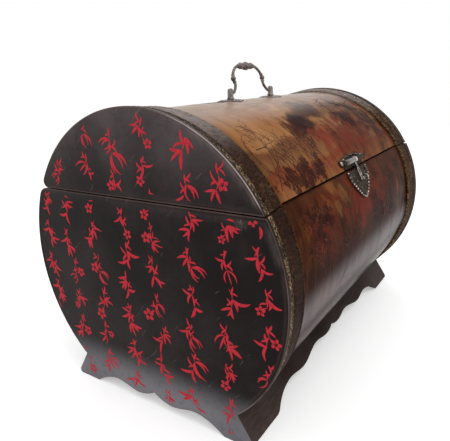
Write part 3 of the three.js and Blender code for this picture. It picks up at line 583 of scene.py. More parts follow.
def bandMaterial():
    # brown leather, lighter on its crests, with pale rubbed lines in patches, a painted highlight on the
    # rolled inner edges, and a painted sheen on the crown
    look = bandLook
    kit = newFinish("embossed_band_leather")
    point = kit.point()
    place = kit.attribute("place", "Vector")
    high = kit.between(kit.part(place, 2), 0.00002, 0.00026)
    cloud = kit.noise(point, 240.0, 5.0, 0.7)
    # short strokes across the band, closer together than the lines
    strokes = kit.noise(kit.stretched(place, 0.24, 1.0, 1.0), 520.0, 3.0, 0.6, 0.6)
    lines = kit.highest(
        raisedLines(kit, place, 0.7, 3.5, 950.0, 0.045),
        raisedLines(kit, place, -0.5, 4.5, 1200.0, 0.04),
        kit.between(strokes, 0.53, 0.59),
    )
    shown = kit.times(lines, kit.between(cloud, 0.3, 0.62, 0.3, 1.0), kit.attribute("flecks"))
    paint = kit.mix(kit.times(high, kit.between(cloud, 0.3, 0.7)), look["dark"], look["brown"])
    paint = kit.mix(shown, paint, look["line"])
    # painted sheen that grows with height, in streaks
    streaks = kit.noise(kit.stretched(point, 0.5, 1.0, 1.0), 260.0, 5.0, 0.7)
    thick = kit.between(kit.part(point, 2), *look["dustHeight"])
    paint = kit.mix(kit.times(thick, kit.between(streaks, 0.3, 0.6, 0.28, 0.8)), paint, look["dust"])
    normal = kit.bump(kit.plus(kit.times(lines, 0.8), cloud), 0.6, 0.0005)
    rough = kit.between(cloud, 0.3, 0.7, *look["roughness"])
    return kit.done(colour=paint, roughness=rough, bend=look["bend"], normal=normal)


trimLook = {
    "gold": colour(146, 118, 84),
    "pale": colour(200, 180, 148),
    "recess": colour(26, 16, 12),
    "winding": 7 * mm,  # length of one turn of a strand
    "middle": 4.6 * mm,
    "swing": 1.5 * mm,
    "strand": (0.3 * mm, 0.7 * mm),  # half widths of its crest and its foot
    "wander": (3 * mm, 5 * mm, 0),
    "bend": 1.08,
    "roughness": (0.32, 0.6),
}


def guilloche(kit, across, along, phase):
    # a strand that winds about the middle of the trim: a sine of the distance along it
    look = trimLook
    turn = kit.fold("SINE", kit.plus(kit.times(along, 2 * math.pi / look["winding"]), phase), 0.0)
    off = kit.minus(across, kit.plus(look["middle"], kit.times(turn, look["swing"])))
    return kit.rest(kit.between(kit.fold("ABSOLUTE", off, 0.0), *look["strand"]))


def trimMaterial():
    # two gilt strands wound round each other, with stems between them, rubbed down to a dark ground
    look = trimLook
    kit = newFinish("gilt_trim")
    point = kit.point()
    place = kit.attribute("place", "Vector")
    rub = kit.noise(point, 420.0, 5.0, 0.7)
    # the strands wander a little off their path
    bent = kit.noise(place, 160.0, 3.0, 0.5, output="Color")
    shift = kit.put("VectorMath", {0: bent, 1: (0.5, 0.5, 0.5)}, operation="SUBTRACT")["Vector"]
    moved = kit.put("VectorMath", {0: shift, 1: look["wander"], 2: place}, operation="MULTIPLY_ADD")["Vector"]
    across = kit.minus(barrel["halfLength"], kit.fold("ABSOLUTE", kit.part(moved, 0), 0.0))
    strands = kit.highest(*[guilloche(kit, across, kit.part(moved, 1), phase) for phase in (0.0, math.pi)])
    stems = kit.highest(raisedLines(kit, place, 1.1, 2.0, 520.0, 0.04),
                        raisedLines(kit, place, -0.9, 2.6, 640.0, 0.035))
    lines = kit.highest(strands, kit.times(stems, 0.7))
    worn = kit.times(lines, kit.between(rub, 0.41, 0.55, 0.1, 1.0), kit.attribute("gilding"))
    gold = kit.mix(kit.between(rub, 0.5, 0.74), look["gold"], look["pale"])
    paint = kit.mix(worn, look["recess"], gold)
    normal = kit.bump(kit.plus(lines, kit.times(rub, 0.4)), 0.5, 0.0004)
    rough = kit.between(rub, 0.3, 0.7, *look["roughness"])
    return kit.done(colour=paint, roughness=rough, bend=look["bend"], normal=normal)


varnishLook = {
    "bend": 1.04,  # a thin, worn varnish: no gloss face on, some at a slant
    "coatRoughness": 0.2,
    "roughness": (0.45, 0.65),
    "speck": colour(40, 20, 17),
    "streak": colour(46, 22, 17),
    "moss": colour(90, 55, 31),
    "bough": colour(40, 18, 17),
    "ember": colour(104, 38, 27),
    "shade": colour(150, 118, 104),
    "glow": (1.3, 1.2, 1.0, 1.0),
    "dust": colour(200, 184, 174),  # painted sheen on the crown
    "dustHeight": (232 * mm, 250 * mm),
    "bloom": colour(150, 142, 143),  # a painted grey reflection low on the sides
    "bloomHeight": (100 * mm, 124 * mm),
    "bloomFoot": (81 * mm, 97 * mm),  # and stops short of the rails
}


def paintedMaterial():
    # the painting that the attributes hold, broken up by brush marks, under a painted sheen on the crown, a
    # painted grey reflection low on the sides and a thin varnish
    look = varnishLook
    kit = newFinish("varnished_painting")
    point = kit.point()
    place = kit.attribute("place", "Vector")
    height = kit.part(point, 2)
    forest = kit.attribute("forest")
    dust = kit.noise(place, 420.0, 6.0, 0.7)
    drift = kit.noise(kit.stretched(place, 1.0, 0.35, 1.0), 60.0, 6.0, 0.65, 0.6)
    lines = kit.noise(kit.stretched(place, 1.0, 0.12, 1.0), 420.0, 5.0, 0.7, 0.4)
    stems = kit.noise(kit.stretched(place, 1.0, 0.14, 1.0), 230.0, 5.0, 0.75, 0.9)
    brush = kit.noise(kit.stretched(place, 1.0, 0.55, 1.0), 330.0, 5.0, 0.75, 0.8)
    uneven = ramped(kit, drift, [(0.25, look["shade"]), (0.5, (1, 1, 1, 1)), (0.8, look["glow"])])
    paint = kit.mix(0.85, kit.attribute("paintwork", "Color"), uneven, "MULTIPLY")
    paint = kit.mix(kit.times(kit.between(stems, 0.55, 0.64), kit.times(forest, 0.45)), paint, look["moss"])
    streaks = kit.times(kit.between(lines, 0.5, 0.68), kit.plus(0.08, kit.times(forest, 0.6)))
    paint = kit.mix(streaks, paint, look["streak"])
    # foliage dabbed over the ground, thick where the attributes say so
    for name, grain in (("ember", dust), ("bough", brush)):
        over = kit.minus(grain, kit.minus(0.74, kit.times(kit.attribute(name), 0.38)))
        paint = kit.mix(kit.between(over, 0.0, 0.09, 0.0, 0.85), paint, look[name])
    paint = kit.mix(kit.between(dust, 0.58, 0.80, 0.0, 0.4), paint, look["speck"])
    # painted reflections: a pale sheen along the crown, and grey where the sides turn under
    wisps = kit.noise(kit.stretched(place, 0.3, 1.0, 1.0), 160.0, 6.0, 0.7, 0.4)
    paintedSheen = kit.times(kit.between(height, *look["dustHeight"]), kit.between(wisps, 0.3, 0.65, 0.38, 0.54))
    paint = kit.mix(paintedSheen, paint, look["dust"])
    # painted grey reflection low on the sides, stopping short of the rails
    low = kit.rest(kit.between(height, *look["bloomHeight"]))
    low = kit.times(low, kit.between(height, *look["bloomFoot"], 0.1, 1.0))
    paint = kit.mix(kit.times(low, kit.between(drift, 0.3, 0.6, 0.4, 0.56)), paint, look["bloom"])
    crease = kit.times(kit.between(kit.cells(point, 260.0), 0.0, 0.05), 0.25)
    fine = kit.bump(kit.plus(crease, kit.times(dust, 0.4)), 0.12, 0.0002)
    swell = kit.noise(kit.stretched(point, 0.5, 1.0, 1.0), 30.0, 2.0)
    return kit.done(
        colour=paint, roughness=kit.between(drift, 0.3, 0.7, *look["roughness"]), specular=0.0, coat=1.0,
        coatBend=look["bend"], coatRoughness=look["coatRoughness"], normal=kit.bump(swell, 0.3, 0.0012, fine),
        coatNormal=kit.bump(swell, 0.2, 0.0012))


def ramped(kit, value, stops):
    # a colour ramp through the given stops
    ramp = kit.put("ValToRGB", {0: value})["Color"]
    elements = ramp.node.color_ramp.elements
    while len(elements) < len(stops):
        elements.new(0.5)
    for element, (position, stop) in zip(elements, stops):
        element.position = position
        element.color = stop
    return ramp


def inkMaterial(name, main, deep, ground):
    # paint laid on with a dry brush, so the ground shows through in streaks
    kit = newFinish(name)
    point = kit.point()
    thin = kit.noise(point, 700.0, 4.0, 0.7)
    dry = kit.noise(kit.stretched(point, 1.0, 1.0, 0.35), 1100.0, 4.0, 0.7)
    paint = kit.mix(kit.between(thin, 0.45, 0.75), main, deep)
    paint = kit.mix(kit.between(dry, 0.54, 0.66, 0.0, 0.75), paint, ground)
    return kit.done(colour=paint, roughness=0.5, specular=0.05, normal=kit.bump(thin, 0.2, 0.0002))


def railMaterial():
    # cloudy dark leather, paler where its attribute says: rubbed, and at the feet partly a painted sheen
    kit = newFinish("rail_leather")
    point = kit.point()
    cloud = kit.noise(point, 20.0, 5.0)
    rub = kit.noise(kit.stretched(point, 0.3, 1.0, 1.0), 300.0, 5.0, 0.6)
    base = kit.mix(kit.between(cloud, 0.3, 0.75), colour(36, 28, 26), colour(56, 47, 45))
    wear = kit.times(kit.attribute("wear"), kit.between(rub, 0.2, 0.8, 0.3, 0.7))
    fine = kit.bump(kit.between(kit.cells(point, 800.0), 0.0, 0.1), 0.15, 0.0002)
    rough = kit.between(cloud, 0.3, 0.7, 0.36, 0.55)
    return kit.done(colour=kit.mix(wear, base, colour(94, 81, 77)), roughness=rough, bend=1.07,
                    normal=kit.bump(cloud, 0.3, 0.001, fine))


def metalMaterial(name, dark, bright, roughness, metal, scale=260.0, bend=1.5):
    # tarnish in patches, rubbed bright between them
    kit = newFinish(name)
    point = kit.point()
    tarnish = kit.noise(point, scale, 5.0, 0.65)
    fine = kit.times(kit.noise(point, 1500.0, 3.0), 0.4)
    paint = kit.mix(kit.between(tarnish, 0.40, 0.64), colour(*dark), colour(*bright))
    rough = kit.between(tarnish, 0.3, 0.7, *roughness)
    return kit.done(colour=paint, roughness=rough, metal=metal, bend=bend,
                    normal=kit.bump(kit.plus(tarnish, fine), 0.25, 0.0004))


def woodMaterial():
    # wavy rings and fine grain, both drawn out along X
    kit = newFinish("pale_carcass_wood")
    point = kit.point()
    rings = kit.wave(kit.stretched(point, 0.12, 1.0, 1.0), 90.0, "Y", 5.0, 3.0)
    grain = kit.noise(kit.stretched(point, 0.04, 1.0, 1.0), 900.0, 4.0)
    base = kit.mix(rings, colour(148, 112, 74), colour(120, 84, 52))
    paint = kit.mix(kit.between(grain, 0.45, 0.75, 0.0, 0.5), base, colour(84, 56, 34))
    # the edges that meet at the split, and everything below the floor, are dark
    height = kit.part(point, 2)
    fromSplit = kit.fold("ABSOLUTE", kit.minus(height, barrel["bodyTop"]), 0.0)
    plain = kit.times(kit.between(fromSplit, 0.0045, 0.007), kit.between(height, 0.030, 0.034))
    return kit.done(colour=kit.mix(plain, colour(40, 24, 18), paint), roughness=0.6,
                    normal=kit.bump(grain, 0.2, 0.0003))


def liningMaterial():
    # dull red cloth: a nap in soft patches over a crossed weave
    kit = newFinish("dark_red_lining")
    point = kit.point()
    weave = kit.plus(*[kit.wave(point, 500.0, direction, 0.6) for direction in ("X", "DIAGONAL")])
    nap = kit.between(kit.noise(point, 40.0, 5.0), 0.35, 0.7)
    return kit.done(colour=kit.mix(nap, colour(96, 28, 26), colour(126, 40, 34)), roughness=0.85, sheen=0.3,
                    normal=kit.bump(weave, 0.2, 0.0002))


# name, tarnished and rubbed colour, roughness of both, metal share, scale of the patches, index of refraction
metals = {
    "bronze": ("antique_bronze", (56, 50, 47), (118, 108, 101), (0.3, 0.46), 0.8),
    "handleBronze": ("worn_handle_bronze", (78, 70, 66), (140, 128, 122), (0.38, 0.54), 0.55, 420.0),
    "smoothBronze": ("smooth_barrel_bronze", (88, 81, 77), (140, 131, 125), (0.22, 0.3), 0.8, 90.0),
    "tarnished": ("tarnished_bronze", (18, 13, 9), (76, 62, 46), (0.45, 0.65), 0.1, 620.0, 1.15),
    "brightBronze": ("rubbed_bronze", (104, 95, 88), (206, 197, 187), (0.18, 0.34), 0.85),
    "brass": ("aged_brass", (88, 71, 46), (138, 115, 78), (0.34, 0.52), 0.8, 160.0),
}
# name, main colour, deeper colour and the ground that shows through
inks = {
    "redInk": ("red_lacquer_marks", colour(200, 50, 62), colour(164, 38, 50), colour(84, 29, 34)),
    "twigInk": ("umber_twig_lines", colour(58, 28, 19), colour(44, 21, 15), colour(76, 38, 25)),
    "leafInk": ("russet_leaf_marks", colour(124, 44, 28), colour(84, 30, 24), colour(92, 46, 28)),
}
materials = {
    "leather": leatherMaterial(),
    "band": bandMaterial(),
    "trim": trimMaterial(),
    "painted": paintedMaterial(),
    "rail": railMaterial(),
    "wood": woodMaterial(),
    "lining": liningMaterial(),
}
materials.update({key: metalMaterial(*values) for key, values in metals.items()})
materials.update({key: inkMaterial(*values) for key, values in inks.items()})
print("materials made")

# End leathers, with a rolled bead round the rim, and the wooden panels behind them

endEdges = {
    "faceDepth": 0.3 * mm,
    "leather": 1.5 * mm,
    "panelInset": 2.4 * mm,  # of the wooden panel from the rim
    "panelThickness": 9 * mm,
    "bodyCentre": np.array([0, 104]) * mm,
    "lidCentre": np.array([0, 215]) * mm,
    "scallopCount": 14,
}


def chain(count, start, *curves):
    # curves end to end, in mm, each pulled from its first control point to its last by those between: the
    # neighbours are blended again and again until one point is left
    t = np.linspace(0, 1, count)[1:, None]
    made = [np.array([start]) * mm]
    for points in curves:
        level = [np.array(point, float) for point in (start, *points)]
        while len(level) > 1:
            level = [a * (1 - t) + b * t for a, b in zip(level, level[1:])]
        made.append(level[0] * mm)
        start = points[-1]
    return np.concatenate(made)


def endScallop(count):
    # lower edge of the ends in (y, z), from the foot to the middle
    curves = ([(59, 9.5), (46, 11)], [(36, 11.2), (28, 6.6), (19, 6.3)], [(9, 7.2), (0, 13)])
    return chain(count, (72, 0), *curves)


def railEdge(count):
    # lower edge of a long rail in (x, z), from the foot to the middle, with fewer points round the foot
    edge = chain(
        count, (142.5, 0), [(138.6, 0.1), (136.4, 2.7)], [(122, 12.4), (103, 13.2)],
        [(94, 13.6), (87, 11.2), (78, 11)], [(65, 10.8), (54, 15.6), (41, 15.8)],
        [(32, 16), (26, 13.7), (18, 13.6)], [(7, 13.2), (0, 16)],
    )
    return np.concatenate([edge[:count:2], edge[count:]])


toe = smoothPath(np.array([[97.9, 4.8], [98.4, 2.8], [97.8, 0.9], [96.1, 0.0]]) * mm, 8)


def endOutline(radius, foot, withToe):
    # closed outline of a body end, and which of its points lie on the round rim
    rear, front = (bodyLayer(side, radius, foot, 110) for side in (1, -1))
    last = toe[0] if withToe else np.array([foot, 0.0])
    slope = np.linspace(0, 1, 12, endpoint=withToe)[1:, None]
    slant = rear[0] + (last - rear[0]) * slope
    footPoints = np.concatenate([slant, toe[1:] if withToe else [last]])
    feet = np.concatenate([footPoints, endScallop(endEdges["scallopCount"])])
    mirror = np.array([-1, 1])
    outline = np.concatenate([rear, (front * mirror)[::-1], feet * mirror, feet[::-1][1:]])
    onRim = (np.arange(len(outline)) < len(rear) + len(front)).astype(float)
    kernel = np.array([1, 2, 3, 2, 1]) / 9
    soft = np.convolve(np.concatenate([onRim[-2:], onRim, onRim[:2]]), kernel, "valid")
    return outline, soft


def endPlace(end):
    # maps (y, z, depth) to a point on one end, with the depth going inwards
    edge = end * barrel["halfLength"]
    return lambda y, z, depth: np.stack([np.broadcast_to(edge, y.shape) - end * depth, y, z], -1)


# (inset, depth) from the inside of the turned rim, round its narrow edge and on to the face
rimRings = np.array([(2.1, 1.2), (2.1, 1.8), (0.0, 1.8), (0.0, 0.62), (0.02, 0.42), (0.09, 0.22), (0.2, 0.09),
                     (0.36, 0.03), (0.56, 0.03), (0.85, 0.08), (1.25, 0.17), (1.9, 0.25), (3.0, 0.3)]) * mm
# the same round a foot, where the leather is thin and its edge softer
footRings = np.array([(1.2, 1.2), (1.2, 1.35), (0.0, 1.35), (0.0, 1.0), (0.03, 0.8), (0.08, 0.62),
                      (0.16, 0.5), (0.26, 0.42), (0.4, 0.36), (0.6, 0.32), (0.8, 0.3), (1.1, 0.3),
                      (1.6, 0.3)]) * mm


def edgeRings(onRim):
    # blends the two lists of rings, point by point
    def rings(turned):
        share = (onRim[::-1] if turned else onRim)[None, :, None]
        both = footRings[:, None] * (1 - share) + rimRings[:, None] * share
        return both[..., 0], both[..., 1]
    return rings


def handWorked(a, b):
    # the face is not quite flat: wide, shallow swellings
    return 0.10 * mm * waves(np.stack([a, b], -1), 75 * mm, 17, 3)


def rimWearAndSheen(ringIndex, verts):
    # a thin line worn along the rim's edge, palest round the front and with painted sheen on the upper front,
    # where a zone inside it is partly scuffed and partly a painted sheen
    y, z = verts[..., 1], verts[..., 2]
    crest = smooth(4.5, 6.5, ringIndex) * (1 - smooth(8.6, 10.4, ringIndex))
    seam = bell(ringIndex, 12, 0.4)
    onLid = z > (barrel["bodyTop"] + barrel["lidBottom"]) / 2
    reach = np.where(onLid, rimRadius - barrel["lidStepIn"], rimRadius)
    fromRim = reach - np.hypot(y, z - np.where(onLid, lidAxisZ, axisZ))
    front = smooth(10 * mm, -60 * mm, y)
    upperFront = front * smooth(187 * mm, 197 * mm, z) * smooth(256 * mm, 235 * mm, z)
    patches = np.clip(0.62 + 0.6 * waves(verts, 90 * mm, 4, 3), 0, 1)
    smear = waves(verts * np.array([1.0, 1.0, 0.4]), 14 * mm, 8, 4)
    line = crest * np.clip(0.14 + 0.3 * patches + 0.14 * front + 0.6 * upperFront, 0, 1)
    line = line + seam * (0.04 + 0.22 * upperFront + 0.08 * front)
    upper = upperFront + front * smooth(125 * mm, 165 * mm, z) * smooth(186 * mm, 180 * mm, z)
    zone = (1 - smooth(2 * mm, 10 * mm, fromRim + 3 * mm * smear)) * (ringIndex > 8) * upper
    return {"wear": line, "scuffing": zone * np.clip(0.1 + 0.16 * smear, 0, 1)}


def makeEnds():
    # each outline is stepped in ring by ring, with a plain wooden panel behind the body's
    outline, onRim = endOutline(rimRadius, barrel["railOuterFoot"], True)
    lidOutline = lidLayer(rimRadius - barrel["lidStepIn"])
    lidRim = np.ones(len(lidOutline))
    panelRadius = rimRadius - endEdges["panelInset"]
    panelOutline = endOutline(panelRadius, barrel["railInnerFoot"] - 0.3 * mm, False)[0]
    panelDepths = np.repeat([[endEdges["panelThickness"]], [0.0]], len(panelOutline), 1)
    plain = lambda turned: (np.zeros(panelDepths.shape), panelDepths)
    for name, end in (("left", -1), ("right", 1)):
        place = endPlace(end)
        behind = lambda y, z, depth, at=place: at(y, z, depth + endEdges["leather"])
        covers = [
            (f"{name}_end", "root", outline, onRim, "bodyCentre", f"{name}_end_leather"),
            (f"lid_{name}_end", "lid", lidOutline, lidRim, "lidCentre", f"lid_{name}_leather"),
        ]
        for label, body, edge, rim, centre, replaced in covers:
            rings = edgeRings(rim)
            piece = board(f"{label}_cover", edge, rings, place, endEdges[centre], handWorked, rimWearAndSheen)
            finishPiece(piece, "leather", body, replaced)
        piece = board(f"{name}_end_board", panelOutline, plain, behind, endEdges["bodyCentre"])
        finishPiece(piece, "wood", "root", f"{name}_end_panel")


makeEnds()
print("ends made")

# Bands of embossed leather and the gilt trim beside the rim

embossing = {
    "cell": 6.2 * mm,  # length of one scroll along the rim
    "depth": 0.24 * mm,
    "start": 2.15,  # from the end face, in mm
    "shoulder": 12,
    "roll": 27.3,  # middle of the rolled inner edge
    "last": 28.6,
    "end": 29.0,
}


def bandRelief(along, x):
    # small scrolls, fading away from the rim, under a fine pebble
    across = barrel["halfLength"] - np.abs(x)
    cell = embossing["cell"]
    u = along / cell * 2 * np.pi
    v = across / cell * 2 * np.pi
    swirl = np.cos(u + 0.9 * np.sin(v) + waves(along[..., None], 31 * mm, 5, 2)) * np.cos(v + 0.9 * np.sin(u))
    pebble = 0.5 * waves(np.stack([x, along], -1), 3.2 * mm, 21, 3)
    fade = 0.35 + 0.65 * (1 - smooth(8 * mm, 20 * mm, across))
    edge = smooth(2.2 * mm, 3.0 * mm, across) * (1 - smooth(27.2 * mm, 28.6 * mm, across))
    return embossing["depth"] * np.clip(0.4 + 0.45 * swirl + pebble, 0, 1) * fade * edge


def bandRubbingAndHighlight(x, along, verts):
    # rubbed most on the right band and least low on the left band, with a painted highlight along the rolled
    # inner edges, strongest on the right band
    across = barrel["halfLength"] - np.abs(x)
    leftShare = 0.34 + 0.14 * (1 - smooth(8 * mm, 17 * mm, across))
    leftShare = leftShare * (0.5 + 0.5 * smooth(180 * mm, 190 * mm, verts[..., 2]))
    patches = 0.65 + 0.5 * waves(verts, 40 * mm, 31, 2)
    # painted highlight along the rolled inner edge
    rolled = np.where(x > 0, 1.2, 0.35) * bell(across, 27.8 * mm, 1.3 * mm)
    return {"flecks": np.clip(np.where(x > 0, 0.7, leftShare) * patches + rolled, 0, 1)}


def ringProfile(end, radiusShift, rows):
    # rows of (distance from the end face, radius, relief share) in mm, as a profile in metres
    shift = rimRadius - 130 * mm - radiusShift
    return np.array([(end * (barrel["halfLength"] - d * mm), r * mm + shift, share) for d, r, share in rows])


def bandProfile(end, radiusShift):
    # closed loop of (x, radius, relief share), outer face first
    start, shoulder, last = (embossing[key] for key in ("start", "shoulder", "end"))
    outer = np.linspace(start, embossing["last"], 36)
    radius = 129 - np.maximum(outer - shoulder, 0) / 16 * 1.3
    radius = radius + 0.5 * bell(outer, embossing["roll"], 0.9)
    rows = [(start, 128.2, 0)] + [(d, r, 1) for d, r in zip(outer, radius)]
    rows += [(last, 127.3, 0), (last, 125.95, 0), (11.1, 125.95, 0), (11.1, 127.95, 0), (start, 127.95, 0)]
    return ringProfile(end, radiusShift, rows)


def trimRelief(along, x):
    # low scrollwork; its fine lines are in the material
    across = barrel["halfLength"] - np.abs(x)
    u = 2 * np.pi * along / (4.6 * mm)
    v = (across - 5.4 * mm) / (3.0 * mm)
    scroll = 0.5 + 0.5 * np.cos(u + 1.6 * np.sin(2.4 * v + 0.4 * u))
    rough = 0.3 * waves(np.stack([x, along], -1), 2.6 * mm, 23, 2)
    return 0.36 * mm * np.clip(scroll * (1 - 0.5 * v ** 2) + rough, 0, 1)


def trimGilding(x, along, verts):
    # the gilding is worn away from the inner side, in patches, and most of all on the crown
    across = barrel["halfLength"] - np.abs(x)
    share = 1 - 0.7 * smooth(4.6 * mm, 8.2 * mm, across)
    patches = 0.8 + 0.45 * waves(verts, 28 * mm, 37, 3)
    crown = 1 - 0.55 * smooth(215 * mm, 245 * mm, verts[..., 2])
    return {"gilding": np.clip(share * patches * crown, 0, 1)}


def trimProfile(end, radiusShift):
    # a thin flat strip beside the rim
    start, last = 2.45, 8.35
    rows = [(start, 129.2, 0)] + [(d, 129.38, 1) for d in np.linspace(start, last, 15)]
    rows += [(last, 129.2, 0), (last, 129.0, 0), (start, 129.0, 0)]
    return ringProfile(end, radiusShift, rows)


def makeBands():
    # both profiles are carried up the two sides of the body and over the lid, at both ends
    foot = barrel["railOuterFoot"] + 0.3 * mm
    kinds = [("band", bandProfile, bandRelief, bandRubbingAndHighlight), ("trim", trimProfile, trimRelief, trimGilding)]
    for name, end in (("left", -1), ("right", 1)):
        places = [
            (f"{name}_rear", "root", 1, 0, lambda radius: bodyLayer(1, radius, foot, 240)),
            (f"{name}_front", "root", -1, 0, lambda radius: bodyLayer(-1, radius, foot, 240)),
            (f"lid_{name}", "lid", 1, barrel["lidStepIn"], lambda radius: lidLayer(radius, 380)),
        ]
        for where, body, side, step, layer in places:
            for kind, profile, relief, worn in kinds:
                piece = sweep(f"{where}_rim_{kind}", layer, profile(end, step), side, relief, worn, 60)
                finishPiece(piece, kind, body, f"{where}_{kind}")


makeBands()
print("bands and trims made")

# Painted wraps: an autumn hillside in ochre, russet and maroon

palette = {
    "sky": colour(148, 108, 71),
    "gold": colour(134, 86, 47),
    "umber": colour(84, 48, 29),
    "russet": colour(112, 47, 29),
    "red": colour(116, 46, 32),
    "maroon": colour(54, 21, 15),
    "shadow": colour(36, 19, 17),
    "pale": colour(170, 132, 84),
}
palette = {name: np.array(value[:3]) for name, value in palette.items()}


def dabs(base, points, centres, sizes, angles, tints, strengths, seed):
    # lays soft, uneven oval dabs of paint over a ground, one after another
    draw = np.random.default_rng(seed)
    for centre, size, angle, tint, strength in zip(centres, sizes, angles, tints, strengths):
        offset = points - centre
        a = (offset[..., 0] * math.cos(angle) + offset[..., 1] * math.sin(angle)) / size[0]
        b = (-offset[..., 0] * math.sin(angle) + offset[..., 1] * math.cos(angle)) / size[1]
        reach = np.hypot(a, b)
        around = np.arctan2(b, a)
        ragged = 1 + 0.16 * np.sin(3 * around + draw.uniform(0, 6))
        ragged = ragged + 0.1 * np.sin(7 * around + draw.uniform(0, 6))
        share = (1 - smooth(0.62, 1.05, reach / ragged)) * strength
        base = base * (1 - share[..., None]) + tint * share[..., None]
    return base


def clump(seed, centre, spread, count, size, names, strength=0.75, lean=0.6):
    # many dabs scattered round one place
    draw = np.random.default_rng(seed)
    centres = np.array(centre) * mm + draw.normal(size=(count, 2)) * np.array(spread) * mm
    sizes = draw.uniform(0.5, 1.3, (count, 1)) * np.array(size) * mm
    angles = lean + draw.normal(size=count) * 0.5
    tints = [palette[names[i]] for i in draw.integers(0, len(names), count)]
    strengths = draw.uniform(0.35, 1, count) * strength
    return centres, sizes, angles, tints, strengths, seed


def hillside(base, x, s, crest, tint, depth, seed):
    # everything below an uneven crest line darkens towards the tint, and clears again further down
    line = crest * mm + 9 * mm * waves(x[..., None], 130 * mm, seed, 3)
    below = smooth(-2 * mm, 3 * mm, line - s) * (1 - 0.75 * smooth(0, depth * mm, line - s))
    return base * (1 - 0.75 * below[..., None]) + tint * 0.75 * below[..., None]


def groundOf(x, s, seed):
    # gold that drifts into the colour of the sky, in soft streaks
    points = np.stack([x, s], -1)
    drift = waves(points, 120 * mm, seed, 4)
    streaks = waves(points * np.array([1.0, 0.4]), 34 * mm, seed + 1, 4)
    share = np.clip(0.5 + 0.5 * drift + 0.3 * streaks, 0, 1)[..., None]
    return points, palette["gold"] * (1 - share) + palette["sky"] * share


def edgeShade(s):
    # painted shade: the colour darkens in the last millimetres beside the split
    return (0.6 + 0.4 * smooth(0.2 * mm, 1.3 * mm, s))[..., None]


def thicket(x, s, spots, seed):
    # how thick the dabbed foliage is: soft spots of (x, s, half width, half height, strength), torn by noise
    points = np.stack([x, s], -1)
    torn = 0.6 * waves(points, 26 * mm, seed, 4)
    total = np.zeros(x.shape)
    for centreX, centreS, wide, high, strength in spots:
        away = np.hypot((x / mm - centreX) / wide, (s / mm - centreS) / high)
        total = np.maximum(total, strength * (1 - smooth(0.35, 1.2, away + torn)))
    return total


lidScene = {
    "crests": [(46, "umber", 40, 41), (22, "russet", 30, 43)],
    "dabs": [
        (61, (-20, 96), (30, 12), 26, (9, 5), ("pale", "gold"), 0.5),
        (81, (-34, 60), (11, 7), 34, (11, 8), ("shadow", "maroon"), 0.9),
        (82, (14, 78), (13, 6), 34, (12, 7), ("shadow", "maroon", "umber"), 0.9),
        (83, (68, 50), (10, 10), 34, (11, 8), ("maroon", "russet", "shadow"), 0.85),
        (84, (-2, 34), (12, 9), 26, (9, 7), ("red", "russet"), 0.8),
        (62, (118, 62), (30, 26), 60, (11, 6), ("umber", "maroon", "shadow", "russet"), 0.7),
        (64, (44, 26), (26, 9), 40, (10, 5), ("red", "russet", "umber"), 0.8),
        (67, (112, 104), (26, 18), 40, (10, 6), ("umber", "gold", "russet"), 0.55),
        (68, (-100, 200), (40, 20), 40, (11, 6), ("umber", "gold", "russet"), 0.6),
        (69, (60, 215), (60, 14), 60, (12, 6), ("umber", "russet", "maroon"), 0.7),
    ],
    "bough": [(-30, 64, 24, 13, 0.8), (24, 92, 30, 12, 0.8), (-92, 12, 56, 18, 1.0), (118, 44, 34, 40, 0.9),
              (20, 8, 40, 8, 0.8), (84, 78, 34, 12, 0.8), (4, 46, 14, 26, 0.7), (-30, 196, 60, 16, 0.8),
              (80, 220, 60, 20, 0.8)],
    "ember": [(30, 34, 26, 22, 0.9), (66, 22, 20, 16, 0.8), (-44, 16, 26, 12, 0.6), (100, 52, 26, 20, 0.6),
              (-90, 214, 50, 20, 0.7)],
}
bodyScene = {
    "crests": [],
    "dabs": [
        (71, (-100, 30), (26, 14), 50, (12, 6), ("russet", "umber", "maroon"), 0.6),
        (72, (-46, 70), (30, 18), 60, (13, 7), ("maroon", "umber", "russet"), 0.6),
        (85, (-138, 50), (8, 22), 22, (6, 12), ("gold", "umber"), 0.5),
        (86, (-70, 14), (14, 7), 16, (10, 6), ("gold", "russet", "pale"), 0.45),
        (73, (10, 30), (22, 14), 40, (11, 6), ("red", "russet", "umber"), 0.75),
        (74, (84, 46), (34, 22), 70, (13, 7), ("maroon", "umber", "shadow", "russet"), 0.7),
        (75, (-90, 104), (34, 18), 50, (13, 7), ("umber", "maroon", "russet"), 0.5),
        (87, (118, 52), (14, 18), 20, (6, 13), ("gold", "umber"), 0.6),
        (88, (-122, 92), (12, 16), 18, (6, 14), ("gold", "umber"), 0.55),
        (76, (60, 112), (60, 20), 80, (15, 8), ("shadow", "umber", "maroon"), 0.8),
        (77, (-30, 140), (70, 14), 70, (15, 7), ("umber", "shadow", "russet"), 0.7),
    ],
    "bough": [(-108, 24, 40, 26, 0.78), (-60, 74, 34, 34, 0.9), (34, 66, 26, 44, 0.9), (92, 30, 26, 44, 0.7),
              (128, 90, 34, 54, 0.75), (-120, 110, 44, 40, 0.8), (0, 124, 110, 30, 1.0)],
    "ember": [(-8, 28, 26, 30, 1.0), (52, 26, 18, 34, 0.7), (-84, 50, 26, 22, 0.6), (76, 84, 26, 26, 0.6)],
}


